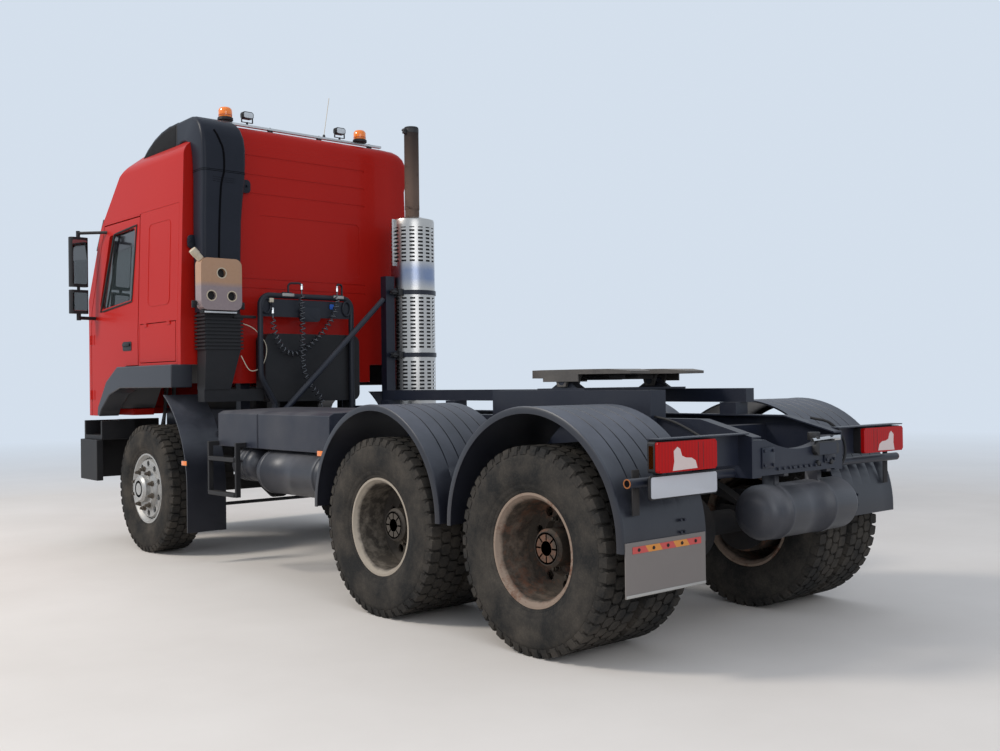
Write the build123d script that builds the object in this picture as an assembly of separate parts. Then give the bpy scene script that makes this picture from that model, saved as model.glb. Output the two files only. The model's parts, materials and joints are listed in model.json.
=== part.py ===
from build123d import *
import math
import os

# A 6x6 semi truck tractor with a high roof sleeper cab, all sizes in millimetres.
# +Z is up, the cab faces -Y and the vehicle's left side is +X.
# Stations along Y are measured from the front axle while the pieces are drawn. When a piece is
# written it is moved by TO_ORIGIN, so that the origin lies on the ground under the middle of the truck.

os.makedirs("parts", exist_ok=True)

# Driving sizes of the whole truck
FRONT_OVERHANG = 1390
WHEELBASE = 3600
BOGIE = 1370
REAR_OVERHANG = 840
HALF_WIDTH = 1250
AXLE_Z = 550
TO_ORIGIN = (FRONT_OVERHANG - WHEELBASE - BOGIE - REAR_OVERHANG) / 2
SEAT = 0.3

MID_AXLE = WHEELBASE
LAST_AXLE = WHEELBASE + BOGIE
BOGIE_CENTRE = (MID_AXLE + LAST_AXLE) / 2

# Tyres and rims
TYRE_RADIUS = 550
TYRE_WIDTH = 320
BEAD_RADIUS = 286
RIM_HALF = 128
RIM_FLANGE = 302
RIM_LIP = 12
FRONT_TRACK_HALF = 1016
TWIN_OUTER = 1096
TWIN_INNER = 751
REAR_OUTSET = (TWIN_OUTER - TWIN_INNER) / 2
DISC = 14
HAND_HOLE = 27
HOLE_RING_OUT = 246
HOLE_RING_IN = 180
DISH_STEP = 34
BARREL_IN = 264
HAND_HOLES = 10
SPINDLE = 60
SPINDLE_DEPTH = 40
REAR_SPINDLE_ROOT = 600
FRONT_OUTSET = 150
HUB_RADIUS = 125
FRONT_HUB_END = 115
REAR_HUB_END = 103
DRUM_RADIUS = 205

# Steering
KINGPIN_X = 870
KINGPIN_RADIUS = 20
YOKE_EYE = 45
YOKE_HEIGHT = 140
YOKE_THICK = 40
ARM_LENGTH = 190
BALL_RADIUS = 14
TIE_ROD_RADIUS = 17
DIFF_FRONT = 170
DIFF_REAR = 200
AXLE_TUBE = 75

# Frame
RAIL_OUT = 425
RAIL_WEB = 8
RAIL_FLANGE = 80
RAIL_BOTTOM = 917
RAIL_TOP = 1217
RAIL_END_TOP = 1130
FRAME_FRONT = -1180
FRAME_REAR = WHEELBASE + BOGIE + REAR_OVERHANG - 30
RAIL_TAPER_Y = FRAME_REAR - 330

# Subframe and fifth wheel
SUB_TOP = 1375
SUB_OUT = 480
PIVOT_Y = BOGIE_CENTRE + 145
SUB_FRONT = 1350
SUB_REAR = PIVOT_Y + 720
LEFT_SUB_FRONT = SUB_REAR - 1330
SUB_FEET = 5
PIVOT_Z = 1430
PLATE_TOP = 1500
PLATE_THICK = 30
PLATE_HALF = 470
PLATE_NOSE = 200
PLATE_RIM = 8
RIM_DEEP = 73
RIM_SHALLOW = 50
RAMP_LENGTH = 130
RAMP_DROP = 14
KINGPIN_THROAT = 27
THROAT_LENGTH = 150
PIVOT_PIN = 25

# Cab
CAB_HALF = 1160
CAB_TOP_HALF = 1115
CAB_BACK = 720
CAB_WALL = 60
CAB_MID_LOW = 1450
TUNNEL_HALF = 700
CAB_LOW = 1165
SILL_Z = 1610
DOOR_REAR = -130
DOOR_FRONT = -1190
DOOR_TOP = 2925
DOOR_LOW = 1165
DOOR_THICK = 60
DOOR_GAP = 10
BELT_Z = 1975
ROOF_SEAM = 2950
ROOF_TOP = 3610
TILT_Y = -1270
TILT_Z = 1020
LOCKER_GAP = 6
LID_PIN = 5.7
HINGE_OUT = 6
HINGE_PIN = math.hypot(HINGE_OUT, DOOR_GAP) - SEAT
LUG_X = 385
TILT_PIN = 18
SNORKEL_LOW = 2035
SNORKEL_TOP = ROOF_TOP + 55
SCREEN_LOW = SNORKEL_TOP - 250
SCREEN_REAR = 450
DUCT_REAR = 895
DUCT_REAR_TOP = 930
DUCT_STRAIGHT = 1265
BAR_Z = SNORKEL_TOP + 7
BEACON_TOP = BAR_Z + 138
AERIAL_X = -305
AERIAL_TOP = BAR_Z + 392

# Behind the cab
STACK_X = -945
STACK_Y = 1080
GUARD_RADIUS = 200
STACK_RADIUS = 68
STACK_TOP = 3790
GUARD_BOTTOM = 1240
GUARD_TOP = 2955
RACK_Y = 955
BRACE_Y = 1076
HOSE_FRONT_Y = 1017
HOSE_RADIUS = 27

# Mudguards over the bogie
GUARD_ARCH = 665
GUARD_ARCH_Z = 635
GUARD_WALL = 12
GUARD_IN = 620
GUARD_LOW = 625


def block(x, y, z):
    """A box from three (low, high) pairs."""
    middle = [(low + high) / 2 for low, high in (x, y, z)]
    size = [high - low for low, high in (x, y, z)]
    return Pos(*middle) * Box(*size)


def rod(start, end, radius):
    """A round bar between two points."""
    start, end = Vector(*start), Vector(*end)
    along = end - start
    seat = (Align.CENTER, Align.CENTER, Align.MIN)
    return Plane(origin=start, z_dir=along) * Cylinder(radius, along.length, align=seat)


def from_side(lines, x):
    """A (y, z) outline carried across from one x to another."""
    face = Plane.YZ.offset(x[0]) * make_face(lines)
    return extrude(face, amount=x[1] - x[0], dir=(1, 0, 0))


def from_front(lines, y):
    """An (x, z) outline carried rearward from one y to another."""
    face = Plane.XZ.offset(-y[0]) * make_face(lines)
    return extrude(face, amount=y[1] - y[0], dir=(0, 1, 0))


def from_above(lines, z):
    """An (x, y) outline carried up from one z to another."""
    face = Plane.XY.offset(z[0]) * make_face(lines)
    return extrude(face, amount=z[1] - z[0], dir=(0, 0, 1))


def closed(*points):
    return Polyline(*points, close=True)


def rounded(radius, *points):
    return FilletPolyline(*points, radius=radius, close=True)


def turned(*points):
    """A ring about the X axis from an (x, radius) outline."""
    return revolve(make_face(closed(*points)), axis=Axis.X, revolution_arc=360)


def tube(path, radius):
    """A round tube along a path of straight runs and arcs."""
    shape = None
    for edge in path.edges():
        section = Plane(origin=edge @ 0, z_dir=edge % 0) * Circle(radius)
        if edge.geom_type == GeomType.LINE:
            piece = extrude(section, amount=edge.length)
        else:
            bend = Axis(edge.arc_center, (edge % 0).cross(edge % 1))
            piece = revolve(section, axis=bend, revolution_arc=math.degrees(edge.length / edge.radius))
        shape = piece if shape is None else shape + piece
    return shape


def other_side(shape):
    return mirror(shape, about=Plane.YZ)


def both(shape):
    return shape + other_side(shape)


def write(node, shape):
    """Moves a finished piece to the truck's origin and writes it."""
    export_step(Pos(0, TO_ORIGIN, 0) * shape, f"parts/{node}.step")


# Wheels, drawn about the X axis with the outboard side at +x
def tyre():
    """A tyre as a ring: bore on the rim, bulged sidewalls and a flat tread."""
    half = TYRE_WIDTH / 2
    bead = RIM_HALF - RIM_LIP - SEAT
    tread = half - 20
    bulge = (BEAD_RADIUS + TYRE_RADIUS) / 2
    return turned(
        (-bead, BEAD_RADIUS + SEAT),
        (bead, BEAD_RADIUS + SEAT),
        (bead, RIM_FLANGE + SEAT),
        (half, bulge),
        (tread, TYRE_RADIUS),
        (-tread, TYRE_RADIUS),
        (-half, bulge),
        (-bead, RIM_FLANGE + SEAT),
    )


def barrel():
    """The rim's band, with a lip each side of the tyre."""
    lip = RIM_HALF - RIM_LIP
    return turned(
        (-RIM_HALF, RIM_FLANGE),
        (-lip, RIM_FLANGE),
        (-lip, BEAD_RADIUS),
        (lip, BEAD_RADIUS),
        (lip, RIM_FLANGE),
        (RIM_HALF, RIM_FLANGE),
        (RIM_HALF, RIM_FLANGE - 14),
        (lip - 20, BARREL_IN),
        (20 - lip, BARREL_IN),
        (-RIM_HALF, RIM_FLANGE - 14),
    )


def disc(outset):
    """The wheel disc: dish, flat ring with the hand holes, and raised mounting face."""
    ring = outset - DISH_STEP
    shape = turned(
        (ring - 60, BARREL_IN + 3),
        (ring - 60 + DISC, BARREL_IN + 3),
        (ring, HOLE_RING_OUT),
        (ring, HOLE_RING_IN),
        (outset, HOLE_RING_IN - 14),
        (outset, 60),
        (outset - DISC, 60),
        (outset - DISC, HOLE_RING_IN - 14 - DISC / 2),
        (ring - DISC, HOLE_RING_IN - DISC / 2),
        (ring - DISC, HOLE_RING_OUT - DISC / 2),
    )
    radius = (HOLE_RING_OUT + HOLE_RING_IN) / 2
    hole = rod((ring - DISC - 10, 0, radius), (ring + 10, 0, radius), HAND_HOLE)
    for index in range(HAND_HOLES):
        shape -= Rot(X=index * 360 / HAND_HOLES) * hole
    return shape


def hub(inner, outer, mount, drum_from, drum_to, end_radius):
    """Hub with its brake drum: a blind bore takes the spindle."""
    bore = SPINDLE + SEAT
    return turned(
        (inner, bore),
        (inner, HUB_RADIUS - 20),
        (drum_from, HUB_RADIUS - 20),
        (drum_from, DRUM_RADIUS),
        (drum_to, DRUM_RADIUS),
        (drum_to, HUB_RADIUS),
        (mount, HUB_RADIUS),
        (mount, end_radius),
        (outer - 18, end_radius),
        (outer, end_radius - 18),
        (outer, 0),
        (inner + SPINDLE_DEPTH + SEAT, 0),
        (inner + SPINDLE_DEPTH + SEAT, bore),
    )


def front_rim():
    shape = barrel() + disc(FRONT_OUTSET)
    shape += hub(-70, 205, 100, -66, 20, FRONT_HUB_END)
    return Pos(FRONT_TRACK_HALF, 0, AXLE_Z) * shape


def rear_rims():
    wheel = barrel() + disc(REAR_OUTSET)
    shape = Pos(TWIN_INNER, 0, 0) * wheel + Pos(TWIN_OUTER, 0, 0) * other_side(wheel)
    mount = TWIN_INNER + REAR_OUTSET
    shape += hub(REAR_SPINDLE_ROOT, mount + 195, mount, REAR_SPINDLE_ROOT + 5, mount - 120, REAR_HUB_END)
    return Pos(0, 0, AXLE_Z) * shape


def twin_tyres():
    return Pos(TWIN_INNER, 0, AXLE_Z) * tyre() + Pos(TWIN_OUTER, 0, AXLE_Z) * tyre()


# Frame
def rail():
    taper = [(RAIL_TAPER_Y, RAIL_TOP), (FRAME_REAR, RAIL_END_TOP)]
    front_end = (FRAME_FRONT, RAIL_TOP)
    web = closed((FRAME_FRONT, RAIL_BOTTOM), (FRAME_REAR, RAIL_BOTTOM), *reversed(taper), front_end)
    inner = RAIL_OUT - RAIL_WEB
    tip = RAIL_OUT - RAIL_FLANGE
    top = closed(
        (FRAME_FRONT, RAIL_TOP - RAIL_WEB),
        (RAIL_TAPER_Y, RAIL_TOP - RAIL_WEB),
        (FRAME_REAR, RAIL_END_TOP - RAIL_WEB),
        *reversed(taper),
        (FRAME_FRONT, RAIL_TOP),
    )
    shape = from_side(web, (inner, RAIL_OUT))
    shape += from_side(top, (tip, inner))
    shape += block((tip, inner), (FRAME_FRONT, FRAME_REAR), (RAIL_BOTTOM, RAIL_BOTTOM + RAIL_WEB))
    return shape


def frame():
    shape = both(rail())
    # Cross members: station, half depth along Y, bottom and top
    for station, half, low, high in (
        (FRAME_FRONT + 60, 50, 930, 1120),
        (HOSE_FRONT_Y, 30, 1145, 1185),
        (1720, 45, 960, 1160),
        (MID_AXLE - 1040, 45, 960, 1160),
        (BOGIE_CENTRE, 110, 925, 1200),
        (LAST_AXLE + 260, 45, 960, 1160),
    ):
        inner = RAIL_OUT - RAIL_WEB
        shape += block((-inner, inner), (station - half, station + half), (low, high))
    return shape


def rear_crossbeam():
    inner = RAIL_OUT - RAIL_WEB - SEAT
    low = RAIL_BOTTOM + RAIL_WEB + SEAT
    high = 1112
    outline = [
        Line((-inner, low), (inner, low)),
        Line((inner, low), (inner, high)),
        Line((inner, high), (inner - 110, high)),
        ThreePointArc((inner - 110, high), (0, high - 60), (110 - inner, high)),
        Line((110 - inner, high), (-inner, high)),
        Line((-inner, high), (-inner, low)),
    ]
    shape = from_front(outline, (FRAME_REAR - 60, FRAME_REAR))
    shape -= rod((290, FRAME_REAR - 70, 1017), (290, FRAME_REAR + 10, 1017), 18)
    jaw = block((-320, -150), (FRAME_REAR, FRAME_REAR + 30), (1010, 1075))
    return shape + jaw


def subframe():
    half = 60
    pitch = (SUB_REAR - SUB_FRONT - 200) / (SUB_FEET - 1)
    right = block((-SUB_OUT, -400), (SUB_FRONT, SUB_REAR), (SUB_TOP - 85, SUB_TOP))
    for index in range(SUB_FEET):
        station = SUB_FRONT + 100 + index * pitch
        right += block((-470, -350), (station - half, station + half), (RAIL_TOP, SUB_TOP - 85))
    left = block((350, SUB_OUT), (LEFT_SUB_FRONT, SUB_REAR), (RAIL_TOP, SUB_TOP))
    left += block((RAIL_OUT, SUB_OUT), (LEFT_SUB_FRONT, SUB_REAR), (RAIL_TOP - 30, RAIL_TOP))
    return right + left


def fifth_wheel_base():
    shape = block((-PLATE_HALF, PLATE_HALF), (PIVOT_Y - 200, PIVOT_Y + 200), (SUB_TOP, SUB_TOP + 12))
    for side in (-1, 1):
        middle = side * 400
        stand = from_side(
            closed(
                (PIVOT_Y - 110, SUB_TOP + 12),
                (PIVOT_Y + 110, SUB_TOP + 12),
                (PIVOT_Y + 35, PIVOT_Z),
                (PIVOT_Y - 35, PIVOT_Z),
            ),
            (middle - 35, middle + 35),
        )
        shape += stand
        shape += rod((middle - 60, PIVOT_Y, PIVOT_Z), (middle + 60, PIVOT_Y, PIVOT_Z), PIVOT_PIN)
    return shape


def plate_rim(outline, top):
    """The rim that hangs from the plate's nose and sides, shallower over the subframe."""
    low = PLATE_TOP - RIM_DEEP
    face = make_face(outline)
    inside = offset(face, amount=-PLATE_RIM, kind=Kind.INTERSECTION)
    ring = Plane.XY.offset(low) * (face - inside)
    shape = extrude(ring, amount=top - low, dir=(0, 0, 1))
    wide = 2 * PLATE_HALF
    shape -= block((-wide, wide), (PIVOT_Y + 150, PIVOT_Y + 500), (low - 5, top + 5))
    for side in (-1, 1):
        corner = sorted((side * PLATE_NOSE, side * wide))
        shape -= block(corner, (PIVOT_Y - 500, PIVOT_Y - 150), (low - 5, PLATE_TOP - RIM_SHALLOW))
    return shape


def fifth_wheel_plate():
    front, rear = PIVOT_Y - 430, PIVOT_Y + 450
    low = PLATE_TOP - PLATE_THICK
    mouth = rear + 10
    outline = closed(
        (-PLATE_NOSE, front),
        (PLATE_NOSE, front),
        (380, front + 90),
        (PLATE_HALF, front + 280),
        (PLATE_HALF, PIVOT_Y + 150),
        (340, rear),
        (-340, rear),
        (-PLATE_HALF, PIVOT_Y + 150),
        (-PLATE_HALF, front + 280),
        (-380, front + 90),
    )
    shape = from_above(outline, (low, PLATE_TOP)) + plate_rim(outline, low)
    ramp = closed(
        (rear - RAMP_LENGTH, PLATE_TOP),
        (mouth, PLATE_TOP - RAMP_DROP),
        (mouth, PLATE_TOP + 5),
        (rear - RAMP_LENGTH, PLATE_TOP + 5),
    )
    shape -= from_side(ramp, (-PLATE_HALF, PLATE_HALF))
    throat = closed(
        (-KINGPIN_THROAT / 2, PIVOT_Y - KINGPIN_THROAT),
        (KINGPIN_THROAT / 2, PIVOT_Y - KINGPIN_THROAT),
        (KINGPIN_THROAT, PIVOT_Y),
        (KINGPIN_THROAT, PIVOT_Y + THROAT_LENGTH),
        (170, mouth),
        (-170, mouth),
        (-KINGPIN_THROAT, PIVOT_Y + THROAT_LENGTH),
        (-KINGPIN_THROAT, PIVOT_Y),
    )
    shape -= from_above(throat, (low - 5, PLATE_TOP + 5))
    # Lugs each side of the stands take the cross pins
    for side in (-1, 1):
        for near in (-1, 1):
            middle = side * 400 + near * 50
            lug = from_side(
                closed(
                    (PIVOT_Y - 60, low),
                    (PIVOT_Y - 34, PIVOT_Z - 34),
                    (PIVOT_Y + 34, PIVOT_Z - 34),
                    (PIVOT_Y + 60, low),
                ),
                (middle - 10, middle + 10),
            )
            bore = rod((middle - 12, PIVOT_Y, PIVOT_Z), (middle + 12, PIVOT_Y, PIVOT_Z), PIVOT_PIN + SEAT)
            shape += lug - bore
    return shape


# Engine and drive line
ENGINE_REAR = 430
GEARBOX_REAR = 1150
TRANSFER_REAR = 1500
FLANGE = 30
NOSE = 290


def engine():
    shape = block((-330, 330), (-640, ENGINE_REAR), (780, 1420))
    for side in (-1, 1):
        shape += block(sorted((side * 320, side * (RAIL_OUT - RAIL_WEB))), (-200, -120), (1000, 1060))
    return shape


def gearbox():
    shape = block((-210, 210), (ENGINE_REAR, GEARBOX_REAR), (800, 1130))
    shape += block((-230, 230), (GEARBOX_REAR, TRANSFER_REAR), (640, 1190))
    for side in (-1, 1):
        shape += block(sorted((side * 200, side * (RAIL_OUT - RAIL_WEB))), (900, 960), (1000, 1060))
    return shape


def prop_shaft(start, end, radius):
    """A shaft with an upright flange at each end, face to face with what it joins."""
    near = (start[0], start[1] + FLANGE, start[2])
    far = (end[0], end[1] - FLANGE, end[2])
    if start[1] > end[1]:
        near = (start[0], start[1] - FLANGE, start[2])
        far = (end[0], end[1] + FLANGE, end[2])
    return rod(near, far, radius) + rod(start, near, radius + 8) + rod(far, end, radius + 8)


def prop_shafts():
    shape = prop_shaft((0, TRANSFER_REAR, 740), (0, MID_AXLE - NOSE, 600), 50)
    shape += prop_shaft((0, MID_AXLE + DIFF_REAR + 20, 600), (0, LAST_AXLE - NOSE, 600), 50)
    shape += prop_shaft((-130, GEARBOX_REAR, 700), (-130, DIFF_FRONT + 60, 600), 40)
    return shape


def bowl(radius):
    """An axle's bowl round its differential, about the X axis."""
    side = radius * 0.95
    return turned(
        (-side, 0),
        (-side * 0.9, radius * 0.5),
        (-side * 0.3, radius),
        (side * 0.3, radius),
        (side * 0.9, radius * 0.5),
        (side, 0),
    )


def front_axle():
    tube_end = KINGPIN_X - 95
    shape = rod((-tube_end, 0, AXLE_Z), (tube_end, 0, AXLE_Z), 70)
    shape += Pos(-130, 0, AXLE_Z) * bowl(DIFF_FRONT)
    shape += rod((-130, 0, 600), (-130, DIFF_FRONT + 60, 600), 60)
    for side in (-1, 1):
        inner, outer = side * (tube_end - 20), side * (tube_end + 5)
        low, high = sorted((inner, outer))
        top = AXLE_Z + YOKE_HEIGHT + YOKE_THICK
        shape += block((low, high), (-60, 60), (2 * AXLE_Z - top, top))
        for sign in (-1, 1):
            ends = sorted((AXLE_Z + sign * YOKE_HEIGHT, AXLE_Z + sign * (YOKE_HEIGHT + YOKE_THICK)))
            reach = sorted((inner, side * KINGPIN_X))
            arm = block(reach, (-YOKE_EYE, YOKE_EYE), ends)
            arm += rod((side * KINGPIN_X, 0, ends[0]), (side * KINGPIN_X, 0, ends[1]), YOKE_EYE)
            pin = side * KINGPIN_X
            hole = rod((pin, 0, ends[0] - 5), (pin, 0, ends[1] + 5), KINGPIN_RADIUS + SEAT)
            shape += arm - hole
        shape += block((side * 400 - 45, side * 400 + 45), (-70, 70), (AXLE_Z + 50, SPRING_SEAT))
    return shape


SPRING_SEAT = 650


def front_springs():
    reach = 800
    eye = 850
    shape = None
    for side in (-1, 1):
        pack = from_side(
            [
                ThreePointArc((-reach, eye + 8), (0, SPRING_SEAT + 70), (reach, eye + 8)),
                Line((reach, eye + 8), (reach, eye - 8)),
                ThreePointArc((reach, eye - 8), (0, SPRING_SEAT), (-reach, eye - 8)),
                Line((-reach, eye - 8), (-reach, eye + 8)),
            ],
            (side * 400 - 44, side * 400 + 44),
        )
        for end in (-1, 1):
            station = end * reach
            pack += block(
                (side * 400 - 25, side * 400 + 25), (station - 35, station + 35), (eye - 35, RAIL_BOTTOM)
            )
        shape = pack if shape is None else shape + pack
    return shape


def rear_axle(station, nose):
    end = REAR_SPINDLE_ROOT - 15
    shape = rod((-end, station, AXLE_Z), (end, station, AXLE_Z), AXLE_TUBE)
    shape += Pos(0, station, AXLE_Z) * bowl(DIFF_REAR)
    shape += rod((0, station - NOSE, 600), (0, station, 600), 80)
    if nose:
        shape += rod((0, station, 600), (0, station + DIFF_REAR + 20, 600), 70)
    for side in (-1, 1):
        flange = sorted((side * (end - 25), side * end))
        shape += rod((flange[0], station, AXLE_Z), (flange[1], station, AXLE_Z), 190)
        tip = side * (REAR_SPINDLE_ROOT + SPINDLE_DEPTH)
        shape += rod((side * end, station, AXLE_Z), (tip, station, AXLE_Z), SPINDLE)
        pad = (side * 500 - 45, side * 500 + 45)
        shape += block(pad, (station - 70, station + 70), (AXLE_Z + 50, SPRING_SEAT))
    return shape


def bogie_springs():
    shape = rod((-545, BOGIE_CENTRE, 735), (545, BOGIE_CENTRE, 735), 45)
    for side in (-1, 1):
        pack = from_side(
            [
                ThreePointArc((MID_AXLE - 60, 650), (BOGIE_CENTRE, 790), (LAST_AXLE + 60, 650)),
                Line((LAST_AXLE + 60, 650), (LAST_AXLE + 60, 680)),
                ThreePointArc((LAST_AXLE + 60, 680), (BOGIE_CENTRE, 895), (MID_AXLE - 60, 680)),
                Line((MID_AXLE - 60, 680), (MID_AXLE - 60, 650)),
            ],
            (side * 500 - 45, side * 500 + 45),
        )
        # The pack's ends are flat where they bear on the axle seats
        for station in (MID_AXLE, LAST_AXLE):
            wide = (side * 500 - 60, side * 500 + 60)
            pack -= block(wide, (station - 120, station + 120), (600, SPRING_SEAT))
        width = (side * 500 - 45, side * 500 + 45)
        saddle = block(width, (BOGIE_CENTRE - 80, BOGIE_CENTRE + 80), (735, 800))
        web = sorted((side * RAIL_OUT, side * (RAIL_OUT + 25)))
        bracket = block(web, (BOGIE_CENTRE - 130, BOGIE_CENTRE + 130), (690, 1010))
        shape += pack + saddle + bracket
    return shape


def knuckle():
    """The left knuckle with its kingpins, spindle and steering arm."""
    top = AXLE_Z + YOKE_HEIGHT
    low = AXLE_Z - YOKE_HEIGHT
    shape = block((KINGPIN_X - 42, KINGPIN_X + 42), (-40, 40), (low + SEAT, top - SEAT))
    shape += rod((KINGPIN_X, 0, low - YOKE_THICK - 30), (KINGPIN_X, 0, top + YOKE_THICK), KINGPIN_RADIUS)
    tip = FRONT_TRACK_HALF - 70 + SPINDLE_DEPTH
    shape += rod((KINGPIN_X, 0, AXLE_Z), (tip, 0, AXLE_Z), SPINDLE)
    arm_z = (low - YOKE_THICK - 30, low - YOKE_THICK - 6)
    shape += block((KINGPIN_X - 16, KINGPIN_X + 16), (-20, ARM_LENGTH), arm_z)
    shape += rod((KINGPIN_X, ARM_LENGTH, arm_z[0]), (KINGPIN_X, ARM_LENGTH, arm_z[1]), BALL_RADIUS + 2)
    shape += rod((KINGPIN_X, ARM_LENGTH, arm_z[1]), (KINGPIN_X, ARM_LENGTH, arm_z[1] + 32), BALL_RADIUS)
    return shape


def tie_rod():
    low = AXLE_Z - YOKE_HEIGHT - YOKE_THICK - 6 + SEAT
    middle = low + 16
    shape = rod((-KINGPIN_X, ARM_LENGTH, middle), (KINGPIN_X, ARM_LENGTH, middle), TIE_ROD_RADIUS - 2)
    for side, clearance in ((1, SEAT), (-1, 5)):
        x, bore = side * KINGPIN_X, BALL_RADIUS + clearance
        shape += rod((x, ARM_LENGTH, low), (x, ARM_LENGTH, low + 31), bore + 9)
        shape -= rod((x, ARM_LENGTH, low - 5), (x, ARM_LENGTH, low + 40), bore)
    return shape


# Front end on the frame
BUMPER_LOW = 570
BUMPER_TOP = 945
GRILLE_TOP = 1120


def bumper():
    outline = closed(
        (-HALF_WIDTH + 20, -1310),
        (-1130, -1370),
        (-700, -FRONT_OVERHANG),
        (700, -FRONT_OVERHANG),
        (1130, -1370),
        (HALF_WIDTH - 20, -1310),
        (HALF_WIDTH - 5, -870),
        (HALF_WIDTH - 65, -870),
        (HALF_WIDTH - 85, -1260),
        (1100, -1300),
        (-1100, -1300),
        (-HALF_WIDTH + 85, -1260),
        (-HALF_WIDTH + 65, -870),
        (-HALF_WIDTH + 5, -870),
    )
    shape = from_above(outline, (BUMPER_LOW, BUMPER_TOP))
    for side in (-1, 1):
        shape -= block((side * 850 - 150, side * 850 + 150), (-1450, -1330), (700, 880))
        reach = sorted((side * (RAIL_OUT + SEAT), side * (RAIL_OUT + 60)))
        shape += block(reach, (-1302, -1080), (800, 900))
    for height in (BUMPER_LOW + 60, BUMPER_LOW + 120):
        shape -= block((-560, 560), (-FRONT_OVERHANG - 5, -FRONT_OVERHANG + 18), (height, height + 30))
    # Lower grille over the bumper, notched where the tilting cab's lugs pass
    shape += block((-865, 865), (-1345, -1310), (BUMPER_TOP - 5, GRILLE_TOP))
    for side in (-1, 1):
        shape -= block((side * LUG_X - 62, side * LUG_X + 62), (-1400, -1300), (BUMPER_TOP, GRILLE_TOP + 5))
    return shape


def headlamps():
    return both(block((705, 995), (-1380, -1330 - SEAT), (705, 875)))


def step_housing():
    """The left boarding step above the bumper's corner."""
    shape = block((880, 1195), (-1300, -870), (BUMPER_TOP + SEAT, 1120))
    shape -= block((960, 1200), (-1270, -900), (985, 1125))
    return shape


def front_guard():
    """The left guard behind the front wheel, with its flap."""
    radius, low = 900, 600
    top = 1360
    middle = 600
    reach = math.sqrt(radius**2 - (top - middle) ** 2)
    half = math.radians(25)
    inner = radius - GUARD_WALL
    inner_reach = math.sqrt(inner**2 - (top - middle) ** 2)
    band = [
        ThreePointArc(
            (reach, top),
            (radius * math.cos(half), middle + radius * math.sin(half)),
            (radius, middle),
        ),
        Line((radius, middle), (radius, 250)),
        Line((radius, 250), (inner, 250)),
        Line((inner, 250), (inner, middle)),
        ThreePointArc(
            (inner, middle),
            (inner * math.cos(half), middle + inner * math.sin(half)),
            (inner_reach, top),
        ),
        Line((inner_reach, top), (reach, top)),
    ]
    shape = from_side(band, (860, 1200))
    shape += block((RAIL_OUT, 880), (776, 816), (1020, 1060))
    return shape


# Mudguards over the bogie wheels
def guard(station, low_front, low_rear):
    def band(outer, inner, x):
        lines = [
            ThreePointArc(
                (station - outer, GUARD_ARCH_Z),
                (station, GUARD_ARCH_Z + outer),
                (station + outer, GUARD_ARCH_Z),
            ),
            Line((station + outer, GUARD_ARCH_Z), (station + outer, low_rear)),
            Line((station + outer, low_rear), (station + inner, low_rear)),
            Line((station + inner, low_rear), (station + inner, GUARD_ARCH_Z)),
            ThreePointArc(
                (station + inner, GUARD_ARCH_Z),
                (station, GUARD_ARCH_Z + inner),
                (station - inner, GUARD_ARCH_Z),
            ),
            Line((station - inner, GUARD_ARCH_Z), (station - inner, low_front)),
            Line((station - inner, low_front), (station - outer, low_front)),
            Line((station - outer, low_front), (station - outer, GUARD_ARCH_Z)),
        ]
        return from_side(lines, x)

    shape = band(GUARD_ARCH, GUARD_ARCH - GUARD_WALL, (GUARD_IN, HALF_WIDTH - 10))
    shape += band(GUARD_ARCH + 6, GUARD_ARCH - 34, (HALF_WIDTH - 10, HALF_WIDTH + 4))
    return shape


MID_GUARD = MID_AXLE - 35
LAST_GUARD = LAST_AXLE - 5
TUBE_Z = 1000


GUARD_TUBE = 23


def guard_tubes():
    """Tubes from the frame with the clamps that carry the guards."""
    shape = None
    # Station, height and reach of each tube, then the guards that its clamps bear on
    tubes = (
        (MID_GUARD - GUARD_ARCH - 26, 760, 1150, (MID_GUARD,)),
        ((MID_GUARD + LAST_GUARD) / 2, 1080, 1010, (MID_GUARD, LAST_GUARD)),
        (LAST_GUARD + GUARD_ARCH + 26, TUBE_Z - 60, 1240, (LAST_GUARD,)),
    )
    for station, height, reach, guards in tubes:
        tube = rod((RAIL_OUT, station, height), (reach, station, height), GUARD_TUBE)
        for guard_station in guards:
            strap = block((780, 840), sorted((station, guard_station)), (height - 5, height + 5))
            seat = GUARD_ARCH + SEAT
            tube += strap - rod((700, guard_station, GUARD_ARCH_Z), (900, guard_station, GUARD_ARCH_Z), seat)
        shape = tube if shape is None else shape + tube
    return both(shape)


def rear_flap():
    y = LAST_GUARD + GUARD_ARCH
    shape = block((634, 1238), (y + SEAT, y + 8), (390, 655))
    return shape


# Tail lamps and plate
LAMP_Y = FRAME_REAR - 17


def lamp_brackets():
    shape = None
    for side in (-1, 1):
        plate = sorted((side * (RAIL_OUT), side * 1130))
        wall = block(plate, (LAMP_Y - 75, LAMP_Y - 69), (985, 1150))
        wall += block(plate, (LAMP_Y - 75, LAMP_Y), (1144, 1150))
        shape = wall if shape is None else shape + wall
    return shape


def tail_lamps():
    return both(block((689, 1140), (LAMP_Y - 69 + SEAT, LAMP_Y), (985, 1137)))


def vessel(length, radius):
    """A tank about the X axis with domed ends, in the middle of its length."""
    half = length / 2
    return turned(
        (-half, 0),
        (-half, radius * 0.45),
        (-half + radius * 0.22, radius * 0.86),
        (-half + radius * 0.5, radius),
        (half - radius * 0.5, radius),
        (half - radius * 0.22, radius * 0.86),
        (half, radius * 0.45),
        (half, 0),
    )


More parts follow.
